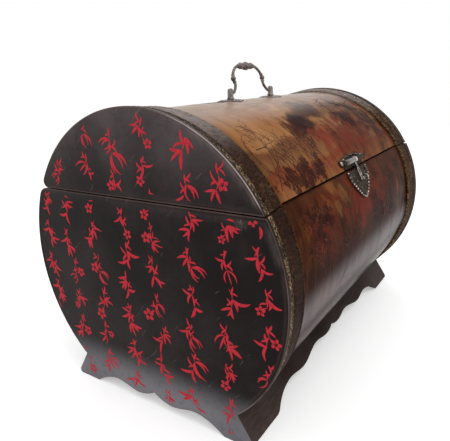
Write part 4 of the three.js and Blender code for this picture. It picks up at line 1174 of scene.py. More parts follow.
def painted(scene, x, s, seed, darker):
    # the colours of a painting, with painted shade beside the split and the bands, and its two kinds of
    # foliage, at distances s from the split
    points, base = groundOf(x, s, seed)
    deeper = darker * (1 + 0.25 * smooth(20 * mm, 80 * mm, s) + 0.1 * waves(points, 60 * mm, seed + 9, 3))
    base = base * (1 - deeper[..., None]) + palette["maroon"] * deeper[..., None]
    for crest, tint, depth, wave in scene["crests"]:
        base = hillside(base, x, s, crest, palette[tint], depth, wave)
    for group in scene["dabs"]:
        base = dabs(base, points, *clump(*group))
    # painted shade: the colour darkens towards the bands
    ends = 0.55 + 0.45 * smooth(150 * mm, (135 - 30 * (darker > 0)) * mm, np.abs(x))
    # the lid is lightest at its left, and the body near the split
    left = smooth(60 * mm, -50 * mm, x)
    if darker > 0:
        light = (0.46 + 0.05 * left) * (0.88 + 0.62 * smooth(66 * mm, 26 * mm, s))
    else:
        light = 0.84 + 0.4 * left * smooth(110 * mm, 70 * mm, s)
    tint = base * edgeShade(s) * (ends * light)[..., None]
    if darker > 0:
        tint = tint * np.array([1.12, 0.92, 0.86])
    # strokes of tree trunks and grass: everywhere on the body, and only at the foot of the lid's picture
    grass = 0.8 * (1 - smooth(8 * mm, 34 * mm, s + 10 * mm * waves(points, 40 * mm, seed, 3)))
    return {
        "paintwork": np.concatenate([tint, np.ones(tint.shape[:-1] + (1,))], -1),
        "bough": thicket(x, s, scene["bough"], seed + 20),
        "ember": thicket(x, s, scene["ember"], seed + 30),
        "forest": np.where(darker > 0, 1.0, grass),
    }


wrapping = {
    "depth": 4.4 * mm,  # below the rim
    "thickness": 1 * mm,
    "reach": 155 * mm,  # how far the shown wrap runs under the bands
    "columns": 230,
}
wrapRadius = rimRadius - wrapping["depth"]


def wrapProfile(radius):
    # a thin shell from band to band: many points outside, where it is painted, and two inside
    columns = np.linspace(-wrapping["reach"], wrapping["reach"], wrapping["columns"])
    outer = [(x, radius, 1) for x in columns]
    inner = [(x, radius - wrapping["thickness"], 0) for x in (wrapping["reach"], -wrapping["reach"])]
    return outer + inner


def wrapRelief(along, x):
    # the slight unevenness of a glued wrap
    return 0.12 * mm * (waves(np.stack([x, along], -1), 70 * mm, 91, 3) - 1)


def makeWraps():
    # the shell is carried up each side of the body and over the lid, painted by the distance from the split
    lidRadius = wrapRadius - barrel["lidStepIn"]
    length = alongAndNormal(bodyLayer(-1, wrapRadius))[0][-1]
    lidLength = alongAndNormal(lidLayer(lidRadius))[0][-1]
    onBodyWrap = lambda x, along, verts: painted(bodyScene, x, length - along, 7, 0.72)
    onLidWrap = lambda x, along, verts: painted(lidScene, x, lidLength - along, 5, 0.0)
    wraps = [
        ("front", "root", -1, wrapRadius, lambda radius: bodyLayer(-1, radius, None, 150), onBodyWrap),
        ("rear", "root", 1, wrapRadius, lambda radius: bodyLayer(1, radius, None, 150), onBodyWrap),
        ("lid", "lid", 1, lidRadius, lambda radius: lidLayer(radius, 230), onLidWrap),
    ]
    for name, body, side, outer, layer, picture in wraps:
        piece = sweep(f"{name}_painted_wrap", layer, wrapProfile(outer), side, wrapRelief, picture, 50)
        finishPiece(piece, "painted", body, f"{name}_wrap")


makeWraps()
print("wraps made")

# Brush strokes: low ridges of paint that taper to their ends

def strokes(name, made, place, lift=0.12 * mm, sink=0.08 * mm):
    # made is a list of (path, width) with equal numbers of points; a stroke has a four-sided section: two
    # edges, a low crown and a root in the surface
    paths, widths = (np.array(values) for values in zip(*made))
    tangent = unit(np.gradient(paths, axis=1))
    sideways = np.stack([-tangent[..., 1], tangent[..., 0]], -1) * widths[..., None] / 2
    left = paths + sideways
    right = paths - sideways
    crown = lift * np.clip(widths / (0.8 * mm), 0.25, 1)
    edge = np.full(widths.shape, 0.01 * mm)
    section = [(left, edge), (paths, crown), (right, edge), (paths, np.full(widths.shape, -sink))]
    verts = np.stack([place(points[..., 0], points[..., 1], height) for points, height in section], 2)
    count, steps = widths.shape
    one = np.concatenate([gridFaces(steps, 4, wrapColumns=True), capFaces(steps, 4)])
    return makePiece(name, verts, [copies(one, count, steps * 4)], 50)


def brushed(start, end, bend, width, steps=12, heavy=0.35):
    # one stroke: a bowed line, heavy near its start and thin at its tip
    t = np.linspace(0, 1, steps)
    start, end = np.array(start, float), np.array(end, float)
    direction = end - start
    side = np.array([-direction[1], direction[0]])
    path = start + direction * t[:, None] + side * (bend * 4 * t * (1 - t))[:, None]
    swell = np.sin(np.pi * np.clip(t, 0, 1) ** (0.5 + heavy)) ** 0.7
    return path, np.maximum(swell * width, 0.06 * mm)


def leafPair(draw, root, heading, size):
    # long leaves that droop to both sides of a stem
    made = []
    for side in (-1, 1):
        angle = heading + side * draw.uniform(0.5, 1.0)
        length = size * draw.uniform(0.7, 1.15)
        tip = root + length * toward(angle)
        made.append(brushed(root, tip, -side * draw.uniform(0.08, 0.2), size * draw.uniform(0.18, 0.25)))
    return made


def leafFan(draw, root, heading, size):
    # leaves that hang from one knot
    count = draw.integers(3, 5)
    made = []
    for angle in heading + np.linspace(-0.75, 0.75, count) + draw.normal(size=count) * 0.1:
        tip = root + size * draw.uniform(0.75, 1.1) * toward(angle)
        made.append(brushed(root, tip, draw.uniform(-0.12, 0.12), size * draw.uniform(0.16, 0.23)))
    return made


def blossom(draw, root, heading, size):
    # a short stalk and five petals round an open centre
    centre = root + 0.62 * size * toward(heading)
    made = [brushed(root, centre, 0.1, size * 0.09)]
    for turn in np.arange(5) * 2 * np.pi / 5 + draw.uniform(0, 1):
        start, end = (centre + toward(turn) * size * share for share in (0.10, 0.42))
        made.append(brushed(start, end, 0.12, size * 0.26))
    return made


def reeds(draw, root, heading, size):
    # narrow blades that rise together and bow apart
    made = []
    for lean in np.linspace(-0.7, 0.7, draw.integers(3, 5)):
        tip = root + size * draw.uniform(0.9, 1.3) * toward(heading + lean * 0.6)
        made.append(brushed(root, tip, 0.2 * np.sign(lean), size * draw.uniform(0.12, 0.17)))
    return made


marks = {
    "columns": np.array([-112, -80, -48, -15, 18, 51, 84, 113]) * mm,
    "size": (10.5 * mm, 13.5 * mm),
    "stem": 1.15 * mm,
    "gap": (2 * mm, 6 * mm),
    "low": 6 * mm,
    "high": 250 * mm,
    "margin": 2.6 * mm,
}


def sprig(draw, top, size):
    # a short hanging stem with leaves, reeds or a flower at its two joints
    motifs = (leafPair, leafFan, blossom, leafPair, reeds, leafFan)
    made = []
    at = np.array(top)
    side = draw.choice([-1, 1])
    for joint in range(2):
        following = at + np.array([side * draw.uniform(0, 0.25), -draw.uniform(0.5, 0.8)]) * size
        made.append(brushed(at, following, draw.uniform(-0.2, 0.2), marks["stem"] * draw.uniform(0.8, 1.6)))
        heading = -np.pi / 2 + side * draw.uniform(0.3, 1.1)
        motif = motifs[draw.integers(0, len(motifs))]
        made += motif(draw, following, heading, size * draw.uniform(0.75, 1.1))
        made += leafPair(draw, (at + following) / 2, heading + side * 1.2, size * draw.uniform(0.45, 0.7))
        side = -side
        at = following
    return made, at[1] - size


def spray(draw, y):
    # sprigs one below the other down a column
    made = []
    z = marks["high"] - draw.uniform(0, 12) * mm
    while z > marks["low"]:
        group, low = sprig(draw, (y + draw.uniform(-4, 4) * mm, z), draw.uniform(*marks["size"]))
        made += group
        z = low - draw.uniform(*marks["gap"]) + 2 * mm
    return made


def onBodyEnd(path):
    # true where a stroke stays clear of the rim, the split and the scalloped foot
    margin = marks["margin"]
    y, z = np.abs(path[:, 0]), path[:, 1]
    scallop = endScallop(endEdges["scallopCount"])[::-1]
    inRound = np.hypot(y, z - axisZ) < rimRadius - margin
    inFoot = y < barrel["railOuterFoot"] - barrel["flare"] * z - margin
    clear = (z > np.interp(y, scallop[:, 0], scallop[:, 1]) + margin) & (z < barrel["bodyTop"] - margin)
    return np.all((inRound | inFoot) & clear)


def onLidEnd(path):
    # the same on the lid
    margin = marks["margin"]
    inRound = np.hypot(path[:, 0], path[:, 1] - lidAxisZ) < rimRadius - barrel["lidStepIn"] - margin
    return np.all(inRound & (path[:, 1] > barrel["lidBottom"] + margin))


def makeMarks():
    # sprays down every column of both ends; the body and the lid each keep the strokes that fit on them
    faceDepth = endEdges["faceDepth"] - 0.05 * mm
    for name, end, seed in (("left", -1, 3), ("right", 1, 8)):
        draw = np.random.default_rng(seed)
        every = [stroke for y in marks["columns"] for stroke in spray(draw, y)]
        edge = end * (barrel["halfLength"] - faceDepth)

        def place(y, z, h):
            face = edge + end * handWorked(y, z)
            return np.stack([face + end * h, y, z], -1)

        for prefix, body, fits in (("", "root", onBodyEnd), ("lid_", "lid", onLidEnd)):
            kept = [stroke for stroke in every if fits(stroke[0])]
            piece = strokes(f"{prefix}{name}_red_sprays", kept, place)
            finishPiece(piece, "redInk", body)


makeMarks()
print("brush marks made")

# Twigs and leaves painted on the wraps

twigs = {
    "steps": 14,
    "width": 0.95 * mm,
    "forks": 5,
    "wander": 0.2,
    "reach": 148 * mm,  # half the length of the shown wrap
}


def growTwigs(draw, start, heading, length, width, depth, made):
    # a twig wanders as it grows, and throws thinner twigs to both sides
    steps = twigs["steps"]
    turns = np.cumsum(draw.normal(size=steps) * twigs["wander"]) + heading
    heads = toward(turns)[:-1] * length / (steps - 1)
    path = np.array(start) + np.concatenate([[[0, 0]], np.cumsum(heads, 0)])
    made.append((path, np.linspace(width, width * 0.5, steps)))
    if depth == 0:
        return
    for at in np.linspace(0.25, 0.95, twigs["forks"]):
        index = int(at * (steps - 1))
        side = draw.choice([-1, 1])
        growTwigs(draw, path[index], turns[index] + side * draw.uniform(0.4, 1.0),
                  length * draw.uniform(0.35, 0.65), width * 0.62, depth - 1, made)


def leavesOn(draw, made, count, size):
    # small leaves at places along the twigs
    leaves = []
    for leaf in range(count):
        path = made[draw.integers(0, len(made))][0]
        start = path[draw.integers(4, len(path))]
        angle = draw.uniform(0, 2 * np.pi)
        end = start + size * draw.uniform(0.6, 1.3) * toward(angle)
        leaves.append(brushed(start, end, draw.uniform(-0.2, 0.2), size * 0.34, twigs["steps"]))
    return leaves


def inside(made, lowS, highS):
    # keeps the strokes that stay on the shown wrap
    return [
        (path, width) for path, width in made
        if abs(path[:, 0]).max() < twigs["reach"] and path[:, 1].min() > lowS and path[:, 1].max() < highS
    ]


def lidPlace(x, s, h):
    # s runs up from the front edge of the lid, over the crown
    radius = wrapRadius - barrel["lidStepIn"]
    angle = math.asin((barrel["lidBottom"] - lidAxisZ) / radius) + s / radius
    return onRound(x, angle, radius - 0.1 * mm + h, lidAxisZ)


def bodyPlace(side):
    # s runs down from the split
    def place(x, s, h):
        angle = math.asin((barrel["bodyTop"] - axisZ) / wrapRadius) - s / wrapRadius
        return onRound(x, angle, wrapRadius - 0.1 * mm + h, axisZ, side)
    return place


def makeTwigs():
    # each twig has a place (x, s), a heading in radians and a length
    scenes = [
        ("lid", "lid", lidPlace, 51, 6 * mm, 225 * mm, [
            ((-112, 8), 1.1, 40), ((-92, 8), 1.9, 36), ((-76, 8), 1.4, 44), ((-58, 8), 2.0, 34),
            ((-134, 44), 0.3, 52), ((-138, 8), 1.2, 46), ((-124, 8), 1.8, 50), ((-100, 8), 1.3, 52),
            ((-44, 8), 1.6, 40), ((-66, 9), 1.2, 30), ((70, 14), 1.8, 50), ((128, 20), 2.2, 60),
            ((140, 80), 2.9, 50), ((86, 96), 3.3, 40), ((-20, 200), 4.0, 60), ((110, 210), 4.4, 60),
            ((-110, 170), 4.8, 50),
        ]),
        ("front", "root", bodyPlace(-1), 52, 8 * mm, 140 * mm, [
            ((-128, 66), -1.2, 50), ((-106, 70), -1.7, 52), ((-70, 90), -1.1, 60), ((-40, 84), -1.8, 50),
            ((40, 96), -1.5, 70), ((96, 100), -1.4, 70), ((128, 90), -1.8, 60),
        ]),
        ("rear", "root", bodyPlace(1), 53, 14 * mm, 140 * mm, [
            ((-120, 100), -0.9, 70), ((-10, 120), -1.2, 80), ((110, 90), -2.0, 70),
        ]),
    ]
    for name, body, place, seed, low, high, starts in scenes:
        draw = np.random.default_rng(seed)
        made = []
        for start, heading, length in starts:
            growTwigs(draw, np.array(start) * mm, heading, length * mm, twigs["width"], 2, made)
        made = inside(made, low, high)
        piece = strokes(f"{name}_painted_twigs", made, place, 0.14 * mm)
        finishPiece(piece, "twigInk", body)
        leaves = inside(leavesOn(draw, made, 60, 3.0 * mm), low, high)
        piece = strokes(f"{name}_painted_leaves", leaves, place, 0.18 * mm)
        finishPiece(piece, "leafInk", body)


makeTwigs()
print("twigs made")

# Foot rails: a leaning board with a scalloped lower edge and soft corners

rails = {
    "halfLength": 178.5 * mm,
    "rounding": 1.2 * mm,
    "toeHeight": 4.8 * mm,
    "toeDepth": 4.4 * mm,
}


def railSection(edge):
    # closed section at each x, with its lower edge at the given height: (n, points, 2)
    flare, rounding = barrel["flare"], rails["rounding"]
    top = barrel["railTop"]
    outerFoot, innerFoot = barrel["railOuterFoot"], barrel["railInnerFoot"]
    edge = edge[:, None]
    down = np.array([1.0, 0.66, 0.33, 0.0])[None]
    outerZ = edge + rounding + (top - edge - rounding) * down
    turn = np.linspace(0, np.pi / 2, 6)[None, 1:]
    # the toe: the outer face turns in under itself near the floor
    lowZ = edge + rounding * (1 - np.sin(turn))
    toeIn = rails["toeDepth"] * np.clip(1 - outerZ / rails["toeHeight"], 0, 1) ** 1.9
    lowToe = rails["toeDepth"] * np.clip(1 - lowZ / rails["toeHeight"], 0, 1) ** 1.9
    outerY = outerFoot - flare * outerZ - toeIn
    lowY = outerFoot - flare * lowZ - lowToe - rounding * 0.35 * (1 - np.cos(turn))
    innerLow = innerFoot - flare * edge + np.zeros_like(edge)
    innerHigh = np.broadcast_to(innerFoot - flare * top, edge.shape)
    y = np.concatenate([outerY, lowY, innerLow, innerHigh], 1)
    z = np.concatenate([outerZ, lowZ, edge, np.full(edge.shape, top)], 1)
    return np.stack([y, z], -1)


def makeRails():
    # one section at each x, with its foot on the lower edge of the rail
    half = railEdge(26)
    edgeX = np.concatenate([[rails["halfLength"], 150 * mm], half[:, 0]])
    edgeZ = np.concatenate([[0, 0], half[:, 1]])
    order = np.argsort(edgeX)
    x = np.unique(np.concatenate([half[:, 0], np.linspace(0, rails["halfLength"], 180)]))
    x = np.concatenate([-x[::-1], x[1:]])
    height = np.interp(np.abs(x), edgeX[order], edgeZ[order])
    section = railSection(height)
    columns = section.shape[1]
    # paler at the feet, from wear and a painted sheen, and rubbed along the lower edge
    wear = 0.8 * smooth(95 * mm, 150 * mm, np.abs(x))[:, None] * np.ones(section.shape[:2])
    wear[:, 3:7] += 0.2
    faces = [gridFaces(len(x), columns, wrapColumns=True), capFaces(len(x), columns)]
    x = np.broadcast_to(x[:, None], section.shape[:2])
    for name, side in (("front", -1), ("rear", 1)):
        verts = np.stack([x, section[..., 0] * side, section[..., 1]], -1)
        piece = makePiece(f"{name}_foot_board", verts, faces, 45, {"wear": wear})
        finishPiece(piece, "rail", "root", f"{name}_foot_rail")


makeRails()
print("rails made")

# Handle

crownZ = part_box("lid_wrap")[1].z
handle = {
    "postX": 40 * mm,
    "pivotZ": crownZ + 7 * mm,
    "lean": math.radians(15),
    "rod": 1.4 * mm,
    "pin": 1.45 * mm,
    "sides": 28,
    # (height, place, width) of the swellings in mm, from the pivots and from the middle of the grip
    "knees": [(1.25, 24.2, 1.9), (0.55, 20.6, 0.6), (0.55, 27.8, 0.6)],
    "grip": [(2.66, 0, 5.0), (1.75, 9.6, 3.6), (0.4, 14.8, 0.8)],
    "carving": 0.17 * mm,
    "rosette": (13.5 * mm, 11.5 * mm),  # half widths along X and round the crown
    "petals": 8,
}


def bailPath():
    # from pivot to pivot in (x, height): a smooth curve through points on one half and their mirror image
    right = np.array([(42, 0), (38, 0), (35, 0.2), (32, 1.6), (27.6, 7.2), (28.3, 14.4), (25.5, 20),
                      (19.5, 24.6), (13, 26), (6, 26)])
    return smoothPath(np.concatenate([right, [[0, 26]], right[::-1] * [-1, 1]]) * mm, 260)


def makeBail():
    # a round rod along the path, swollen by bell curves and carved round its grip
    path = bailPath()
    along = alongAndNormal(path)[0]
    fromEnd = np.minimum(along, along[-1] - along)
    radius = np.where(fromEnd < 8 * mm, handle["pin"], handle["rod"])
    away = np.abs(along - along[-1] / 2)
    # knees: a ball between two thin collars; grip: a fat middle lobe between two slimmer ones
    for distance, swellings in ((fromEnd, handle["knees"]), (away, handle["grip"])):
        for height, place, width in swellings:
            radius = radius + height * mm * bell(distance, place * mm, width * mm)
    angle = np.linspace(0, 2 * np.pi, handle["sides"], endpoint=False)
    carved = smooth(14 * mm, 11 * mm, away)[:, None]
    relief = handle["carving"] * carved * np.cos(7 * angle[None] + away[:, None] / (1.3 * mm))
    tangent = unit(np.gradient(path, axis=0))
    lean = handle["lean"]

    def leant(x, h):
        # leans the bail back about the line through its pivots
        return np.stack([x, h * math.sin(lean), h * math.cos(lean)], -1)

    centre = leant(path[:, 0], path[:, 1]) + np.array([0, 0, handle["pivotZ"]])
    across = leant(-tangent[:, 1], tangent[:, 0])
    depth = np.broadcast_to(np.array([0, math.cos(lean), -math.sin(lean)]), across.shape)
    piece = makePiece("carrying_bail", *tube(centre, across, depth, radius, handle["sides"], relief), 50)
    finishPiece(piece, "handleBronze", "bail", "handle_bail")


def makePosts():
    # one turned profile, set on both rosettes
    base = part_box("left_rosette")[1].z + 0.3 * mm
    pivot = handle["pivotZ"]
    # (radius, height) in mm: a foot above the rosette, and a round top above the pivot
    foot = [(0, -1), (3.3, -1), (3.5, 0.1), (3.5, 0.5), (3.2, 0.9), (2.95, 1.3), (2.85, 2.4)]
    top = [(2.85, 1.0), (2.8, 1.9), (2.6, 2.9), (2.2, 3.8), (1.2, 4.35), (0, 4.5)]
    profile = np.concatenate([np.array(foot) * mm + [0, base], np.array(top) * mm + [0, pivot]])
    for name, end in (("left", -1), ("right", 1)):
        verts, faces = lathe(profile, 32)
        piece = makePiece(f"{name}_handle_post", verts + [end * handle["postX"], 0, 0], faces, 35)
        finishPiece(piece, "smoothBronze", "lid", f"{name}_post")


def makeRosettes():
    # petals raised round the post, on an oval leaf that follows the crown
    rings = np.array([0.0, 0.16, 0.3, 0.44, 0.56, 0.68, 0.78, 0.87, 0.94, 0.98, 1.0])
    angle = np.linspace(0, 2 * np.pi, 96, endpoint=False)
    petals = 0.5 + 0.5 * np.cos(handle["petals"] * angle)
    scallop = 0.93 + 0.14 * petals
    share, around = np.meshgrid(rings[1:], angle, indexing="ij")
    halfX, halfY = handle["rosette"]
    x = halfX * scallop * np.cos(around) * share
    y = halfY * scallop * np.sin(around) * share
    height = 0.45 + 0.75 * (1 - share ** 2) + 0.35 * petals * bell(share, 0.62, 0.2)
    height = height - 0.25 * bell(share, 0.9, 0.04)
    height = np.where(share > 0.99, 0.25, height)
    crown = crownZ - lidAxisZ + 0.05 * mm
    for name, end in (("left", -1), ("right", 1)):
        def onCrown(a, b, h):
            # on the cylinder of the crown, raised by h
            return np.stack([end * handle["postX"] + a, b, lidAxisZ + np.sqrt((crown + h) ** 2 - b ** 2)], -1)

        top = onCrown(x, y, height * mm).reshape(-1, 3)
        under = onCrown(x[-1], y[-1], np.zeros(len(angle)))
        peak = onCrown(np.zeros(1), np.zeros(1), np.full(1, 1.2 * mm))
        rows, columns = x.shape
        middle = fanFaces(0, columns, (rows + 1) * columns)[:, ::-1]
        faces = [gridFaces(rows + 1, columns, wrapColumns=True), middle, capFaces(rows + 1, columns)[1:]]
        piece = makePiece(f"{name}_handle_rosette", np.concatenate([top, under, peak]), faces, 50)
        finishPiece(piece, "handleBronze", "lid", f"{name}_rosette")


makeBail()
makePosts()
makeRosettes()
print("handle made")

# Latch

latch = {
    "thickness": 1.2 * mm,
    "beadRadius": 1.0 * mm,
    "beadStep": 3.7 * mm,
    "edgeCount": 40,  # points along each curve of the shield's edge
    "topCentre": np.array([0, 6]) * mm,
    "shieldCentre": np.array([0, -11]) * mm,
    "topStuds": np.array([(-17.5, 10.6), (17.5, 10.6)]) * mm,
    "shieldStuds": np.array([(-15, -7), (15, -7), (-10, -12), (10, -12), (-6, -19), (6, -19)]) * mm,
    "studRadius": 0.8 * mm,
    "pivot": (-109.3 * mm, 193.3 * mm),
    "earStart": 2.7,
    "earEnd": 23.0,
    "haspTop": 31.8,
    "forkTop": 28.2,
    "haspEnd": 23.2,
}


def latchPoint(radius, centreZ):
    # maps (x, distance up round the front from the split, height above the wrap) to a point
    start = math.asin(((barrel["bodyTop"] + barrel["lidBottom"]) / 2 - centreZ) / radius)
    return lambda x, up, h: onRound(x, start + up / radius, radius + h, centreZ)


onLid = latchPoint(wrapRadius - barrel["lidStepIn"] + 0.3 * mm, lidAxisZ)
onBody = latchPoint(wrapRadius + 0.3 * mm, axisZ)


def bothHalves(right, corner):
    # the right half of an outline, its mirror image, and a straight edge from corner to corner that closes it
    straight = np.linspace(-1, 1, 24)[1:-1, None] * np.array([corner[0], 0]) + np.array([0, corner[1]])
    return np.concatenate([right, (right * np.array([-1, 1]))[::-1][1:], straight])


def lidPlateEdge(count):
    # a lobe at each side and a low point in the middle, over a straight lower edge, anticlockwise
    right = chain(count, (22.5, 1.5), [(22.8, 4), (25.5, 4.8)], [(29.2, 5.4), (29.1, 8.3)],
                  [(28.8, 11.2), (25.4, 11)], [(20, 10.9), (15, 12.8)], [(10, 13.5), (6.5, 13)],
                  [(3, 13.2), (0, 14.6)])
    return bothHalves(right, (22.5 * mm, 1.2 * mm))


def bodyPlateEdge(count):
    # a shield that draws in twice to a point at the bottom, clockwise from its left shoulder
    right = chain(count, (25, -1.5), [(26.5, -9), (20, -15)], [(16, -19.5), (9, -28), (0, -30)])
    return bothHalves(right, (25 * mm, -1.2 * mm))


def plate(name, edge, place, centre, body, replaced, petals):
    # rings shrunk towards a centre: a flat rim, a hollow, and a field chased with leaves
    shares = np.array([1, 1, 0.975, 0.93, 0.87, 0.83, 0.76, 0.7, 0.62, 0.54, 0.46, 0.38, 0.3, 0.2, 0.1])
    heights = np.array([0, 0.8, 1.15, 1.2, 1.0, 0.7, 0.72, 0.8, 0.85, 0.9, 0.9, 0.95, 1.0, 1.05, 1.1]) * mm
    points = centre + (edge[None] - centre) * shares[:, None, None]
    angle = np.arctan2(*(edge - centre).T[::-1])[None]
    leaves = np.cos(petals * angle + 5 * shares[:, None]) * bell(shares, 0.55, 0.2)[:, None]
    grain = waves(points, 3.4 * mm, 57, 2) * bell(shares, 0.5, 0.25)[:, None]
    height = heights[:, None] + 0.26 * mm * leaves + 0.2 * mm * grain
    verts = place(points[..., 0], points[..., 1], height)
    size = verts.shape[:2]
    piece = makePiece(name, verts, [gridFaces(*size, wrapColumns=True), capFaces(*size)], 45)
    finishPiece(piece, "tarnished", body, replaced)


def beadRow(name, points, place, radius, body, look="brightBronze"):
    # a bead on each point, facing the way in which the plate's height grows
    x, up = points.T
    low, high, centres = (place(x, up, np.full(len(x), h)) for h in (0.0, mm, latch["thickness"] * 0.95))
    finishPiece(makePiece(name, *beadsAt(centres, (high - low) / mm, radius), 60), look, body)


def makeLatch():
    # the two plates, each with a row of beads inside its edge, and studs
    beads, step = latch["beadRadius"], latch["beadStep"]
    edge = lidPlateEdge(12)
    plate("latch_top_plate", edge, onLid, latch["topCentre"], "lid", "latch_lid_plate", 9)
    crest = edge[(edge[:, 1] > 11.2 * mm) & (np.abs(edge[:, 0]) < 24 * mm)] - np.array([0, 1.1 * mm])
    beadRow("latch_top_beads", evenly(crest, spacing=step), onLid, beads, "lid", "bronze")
    edge = bodyPlateEdge(latch["edgeCount"])
    centre = latch["shieldCentre"]
    plate("latch_shield_plate", edge, onBody, centre, "root", "latch_body_plate", 8)
    curved = edge[:4 * latch["edgeCount"] - 3]  # without the straight edge beside the split
    around = centre + (curved - centre) * 0.94
    beadRow("latch_shield_beads", evenly(around, spacing=step), onBody, beads, "root")
    beadRow("latch_shield_studs", latch["shieldStuds"], onBody, latch["studRadius"], "root", "bronze")
    beadRow("latch_top_studs", latch["topStuds"], onLid, beads, "lid")


def alongBar(start, end, radii, sides=20, at=latch["pivot"]):
    # a turned bar along X through a point in (y, z); radii are (share of length, radius)
    shares, radius = np.array(radii).T
    x = shares * (end - start) + start
    path = np.stack([x, np.full(len(x), at[0]), np.full(len(x), at[1])], 1)
    across, up = (np.broadcast_to(direction, path.shape) for direction in ([0, 1, 0], [0, 0, 1]))
    return tube(path, across, up, radius * mm, sides)


def makeKnuckle():
    # a smooth barrel on each side of the hasp; the left one is bright bronze as a painted highlight, the
    # right one dark bronze as painted shade
    start, end = latch["earStart"], latch["earEnd"]
    ear = [(0, 2.0), (0.02, 2.4), (0.06, 2.6), (0.1, 2.35), (0.13, 2.3), (0.17, 2.5), (0.3, 2.6), (0.75, 2.6),
           (0.84, 2.5), (0.87, 2.25), (0.9, 2.5), (0.95, 2.75), (0.985, 2.5), (1, 1.9)]
    turned = [(1 - share, radius) for share, radius in ear][::-1]
    ears = [("left", -end, -start, turned, "smoothBronze"), ("right", start, end, ear, "tarnished")]
    for name, low, high, radii, look in ears:
        finishPiece(makePiece(f"latch_{name}_knuckle", *alongBar(low * mm, high * mm, radii)), look, "lid")


def haspBar(angles, x, radii, lift):
    # a rod that follows the shield at a small distance
    reach = wrapRadius + latch["thickness"] + 0.3 * mm + lift * mm
    angles = np.radians(angles)
    path = onRound(np.full(len(angles), x * mm), angles, reach, axisZ)
    outward = onRound(np.zeros(len(angles)), angles, 1, 0)
    across = np.broadcast_to(np.array([1.0, 0, 0]), path.shape)
    return tube(path, across, outward, np.array(radii) * mm, 14)


def makeHasp():
    # a knuckle, a thin stem with a ball beside it, and two prongs round the staple
    top, fork, low = latch["haspTop"], latch["forkTop"], latch["haspEnd"]
    stemRadii = [0.9, 1.15, 1.2, 1.1, 1.1, 1.15, 1.3, 1.35, 1.2, 0.9]
    ballRadii = [0.2, 0.75, 1.0, 1.12, 1.15, 1.12, 1.0, 0.75, 0.2]
    prongRadii = [0.5, 0.62, 0.62, 0.6, 0.58, 0.58, 0.6, 0.62, 0.63, 0.64, 0.6, 0.4]
    knuckleRadii = [(0, 1.9), (0.08, 2.5), (0.3, 2.8), (0.7, 2.8), (0.92, 2.5), (1, 1.9)]
    yokeRadii = [(i / 6, radius) for i, radius in enumerate((0.5, 0.9, 1.0, 1.1, 1.0, 0.9, 0.5))]
    # the short cross bar from which the two prongs start
    reach = wrapRadius + latch["thickness"] + 1.45 * mm
    angle = math.radians(fork + 0.1)
    yokeAt = onRound(0, angle, reach, axisZ)[1:]
    parts = [
        haspBar(np.linspace(top, fork - 0.1, 10), 0, stemRadii, 1.3),
        haspBar(np.linspace(fork + 0.75, fork - 0.05, 9), -1.25, ballRadii, 1.5),
        haspBar(np.linspace(fork + 0.25, low, 12), -1.74, prongRadii, 1.2),
        haspBar(np.linspace(fork + 0.25, low, 12), 1.74, prongRadii, 1.2),
        alongBar(-2.3 * mm, 2.3 * mm, yokeRadii, 12, yokeAt),
        alongBar(-2.35 * mm, 2.35 * mm, knuckleRadii),
    ]
    finishPiece(makePiece("latch_strap", *joinParts(parts)), "brightBronze", "hasp", "latch_hasp")


makeLatch()
makeKnuckle()
makeHasp()
print("latch made")

# CAD nodes that keep their own shape: the first word here that a node's name holds gives its material

keptLooks = {
    "latch_lid_nail": "brightBronze", "latch_staple": "brightBronze", "latch": "bronze", "lining": "lining",
    "hinge": "brass", "post_nut": "brass",
}
for name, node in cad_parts.items():
    if node.hide_render:
        continue
    look = next((keptLooks[word] for word in keptLooks if word in name), "wood")
    node.data.materials.clear()
    node.data.materials.append(materials[look])

# Floor, light and camera

studio = {
    "ambient": 0.80,
    "keyPower": 12.0,
    "keySize": 1.4,
    "keyAt": (-0.5, -1.1, 2.2),
    "fillPower": 5.0,
    "fillAt": (1.8, 0.9, 1.6),
    "floorGlow": 0.38,  # only for the camera, so that the lit floor reads as white
    "fade": (0.7, 2.2),  # from the lit floor to plain white
    "floorSize": 12.0,
}


def seenDirectly(kit):
    # 1 where the camera, a mirror or a glass looks at a thing, and 0 where only light does
    path = kit.put("LightPath")
    return kit.highest(*[path[f"Is {kind} Ray"] for kind in ("Camera", "Glossy", "Transmission")])


def makeFloor():
    # a big square, lit near the box and plain white far away
    size = studio["floorSize"]
    mesh = bpy.data.meshes.new("studio_floor")
    corners = [(-size, -size, 0), (size, -size, 0), (size, size, 0), (-size, size, 0)]
    mesh.from_pydata(corners, [], [(0, 1, 2, 3)])
    floor = newObject("studio_floor", mesh)
    kit = newFinish("pale_floor")
    diffuse = kit.put("BsdfDiffuse", {"Color": (0.92, 0.92, 0.92, 1.0)})[0]
    seen = seenDirectly(kit)
    away = kit.put("VectorMath", {0: kit.point()}, operation="LENGTH")["Value"]
    far = kit.between(away, *studio["fade"])
    glow = kit.put("Emission", {"Strength": kit.times(seen, studio["floorGlow"])})[0]
    lit = kit.put("AddShader", {0: diffuse, 1: glow})[0]
    white = kit.put("Emission", {"Strength": 1.0})[0]
    total = kit.put("MixShader", {0: kit.times(seen, far), 1: lit, 2: white})[0]
    kit.put("OutputMaterial", {"Surface": total})
    mesh.materials.append(kit.owner)


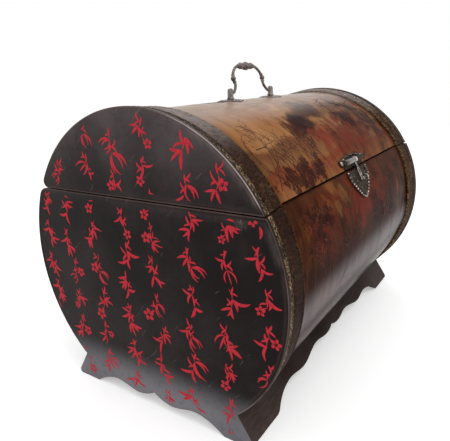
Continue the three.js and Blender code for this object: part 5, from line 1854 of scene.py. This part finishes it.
def makeWorld():
    # white all round for the camera and for mirrors, and a little dimmer as a light
    world = bpy.data.worlds.new("studio_world")
    bpy.context.scene.world = world
    kit = Finish(world)
    strength = kit.plus(kit.times(seenDirectly(kit), 1 - studio["ambient"]), studio["ambient"])
    sky = kit.put("Background", {"Color": (1, 1, 1, 1), "Strength": strength})[0]
    kit.put("OutputWorld", {"Surface": sky})


def areaLamp(name, power, size, place, target=(0, 0, 0.12)):
    # a round lamp that looks at a target
    data = bpy.data.lights.new(name, "AREA")
    data.energy = power
    data.shape = "DISK"
    data.size = size
    lamp = newObject(name, data)
    lamp.location = place
    lamp.rotation_euler = (Vector(target) - Vector(place)).to_track_quat("-Z", "Y").to_euler()


photoCamera = {
    "place": (-420.3 * mm, -247.9 * mm, 268.0 * mm),
    "yaw": 34.47,
    "pitch": 16.44,
    "roll": -2.70,
    "focal": 458.8,  # in pixels of the photograph
    "width": 450,
    "height": 441,
    "centre": (224.9, 217.5),
}


def makeCamera():
    # the pinhole camera that was fitted to the photograph: a look direction, turned about itself by the roll
    data = bpy.data.cameras.new("photo_camera")
    data.sensor_width = 36.0
    data.sensor_fit = "HORIZONTAL"
    data.lens = photoCamera["focal"] / photoCamera["width"] * data.sensor_width
    data.shift_x = (photoCamera["width"] / 2 - photoCamera["centre"][0]) / photoCamera["width"]
    data.shift_y = (photoCamera["centre"][1] - photoCamera["height"] / 2) / photoCamera["width"]
    data.clip_start = 0.01
    camera = newObject("photo_camera", data)
    yaw, pitch, roll = (math.radians(photoCamera[key]) for key in ("yaw", "pitch", "roll"))
    look = Vector((math.cos(yaw) * math.cos(pitch), math.sin(yaw) * math.cos(pitch), -math.sin(pitch)))
    right = look.cross(Vector((0, 0, 1))).normalized()
    up = right.cross(look)
    turnedRight = right * math.cos(roll) + up * math.sin(roll)
    turnedUp = up * math.cos(roll) - right * math.sin(roll)
    turn = Matrix((turnedRight, turnedUp, -look)).transposed().to_4x4()
    camera.matrix_world = Matrix.Translation(photoCamera["place"]) @ turn
    bpy.context.scene.camera = camera


makeFloor()
makeWorld()
areaLamp("key_light", studio["keyPower"], studio["keySize"], studio["keyAt"])
areaLamp("fill_light", studio["fillPower"], studio["keySize"], studio["fillAt"])
makeCamera()
bpy.context.scene.view_settings.view_transform = "Standard"
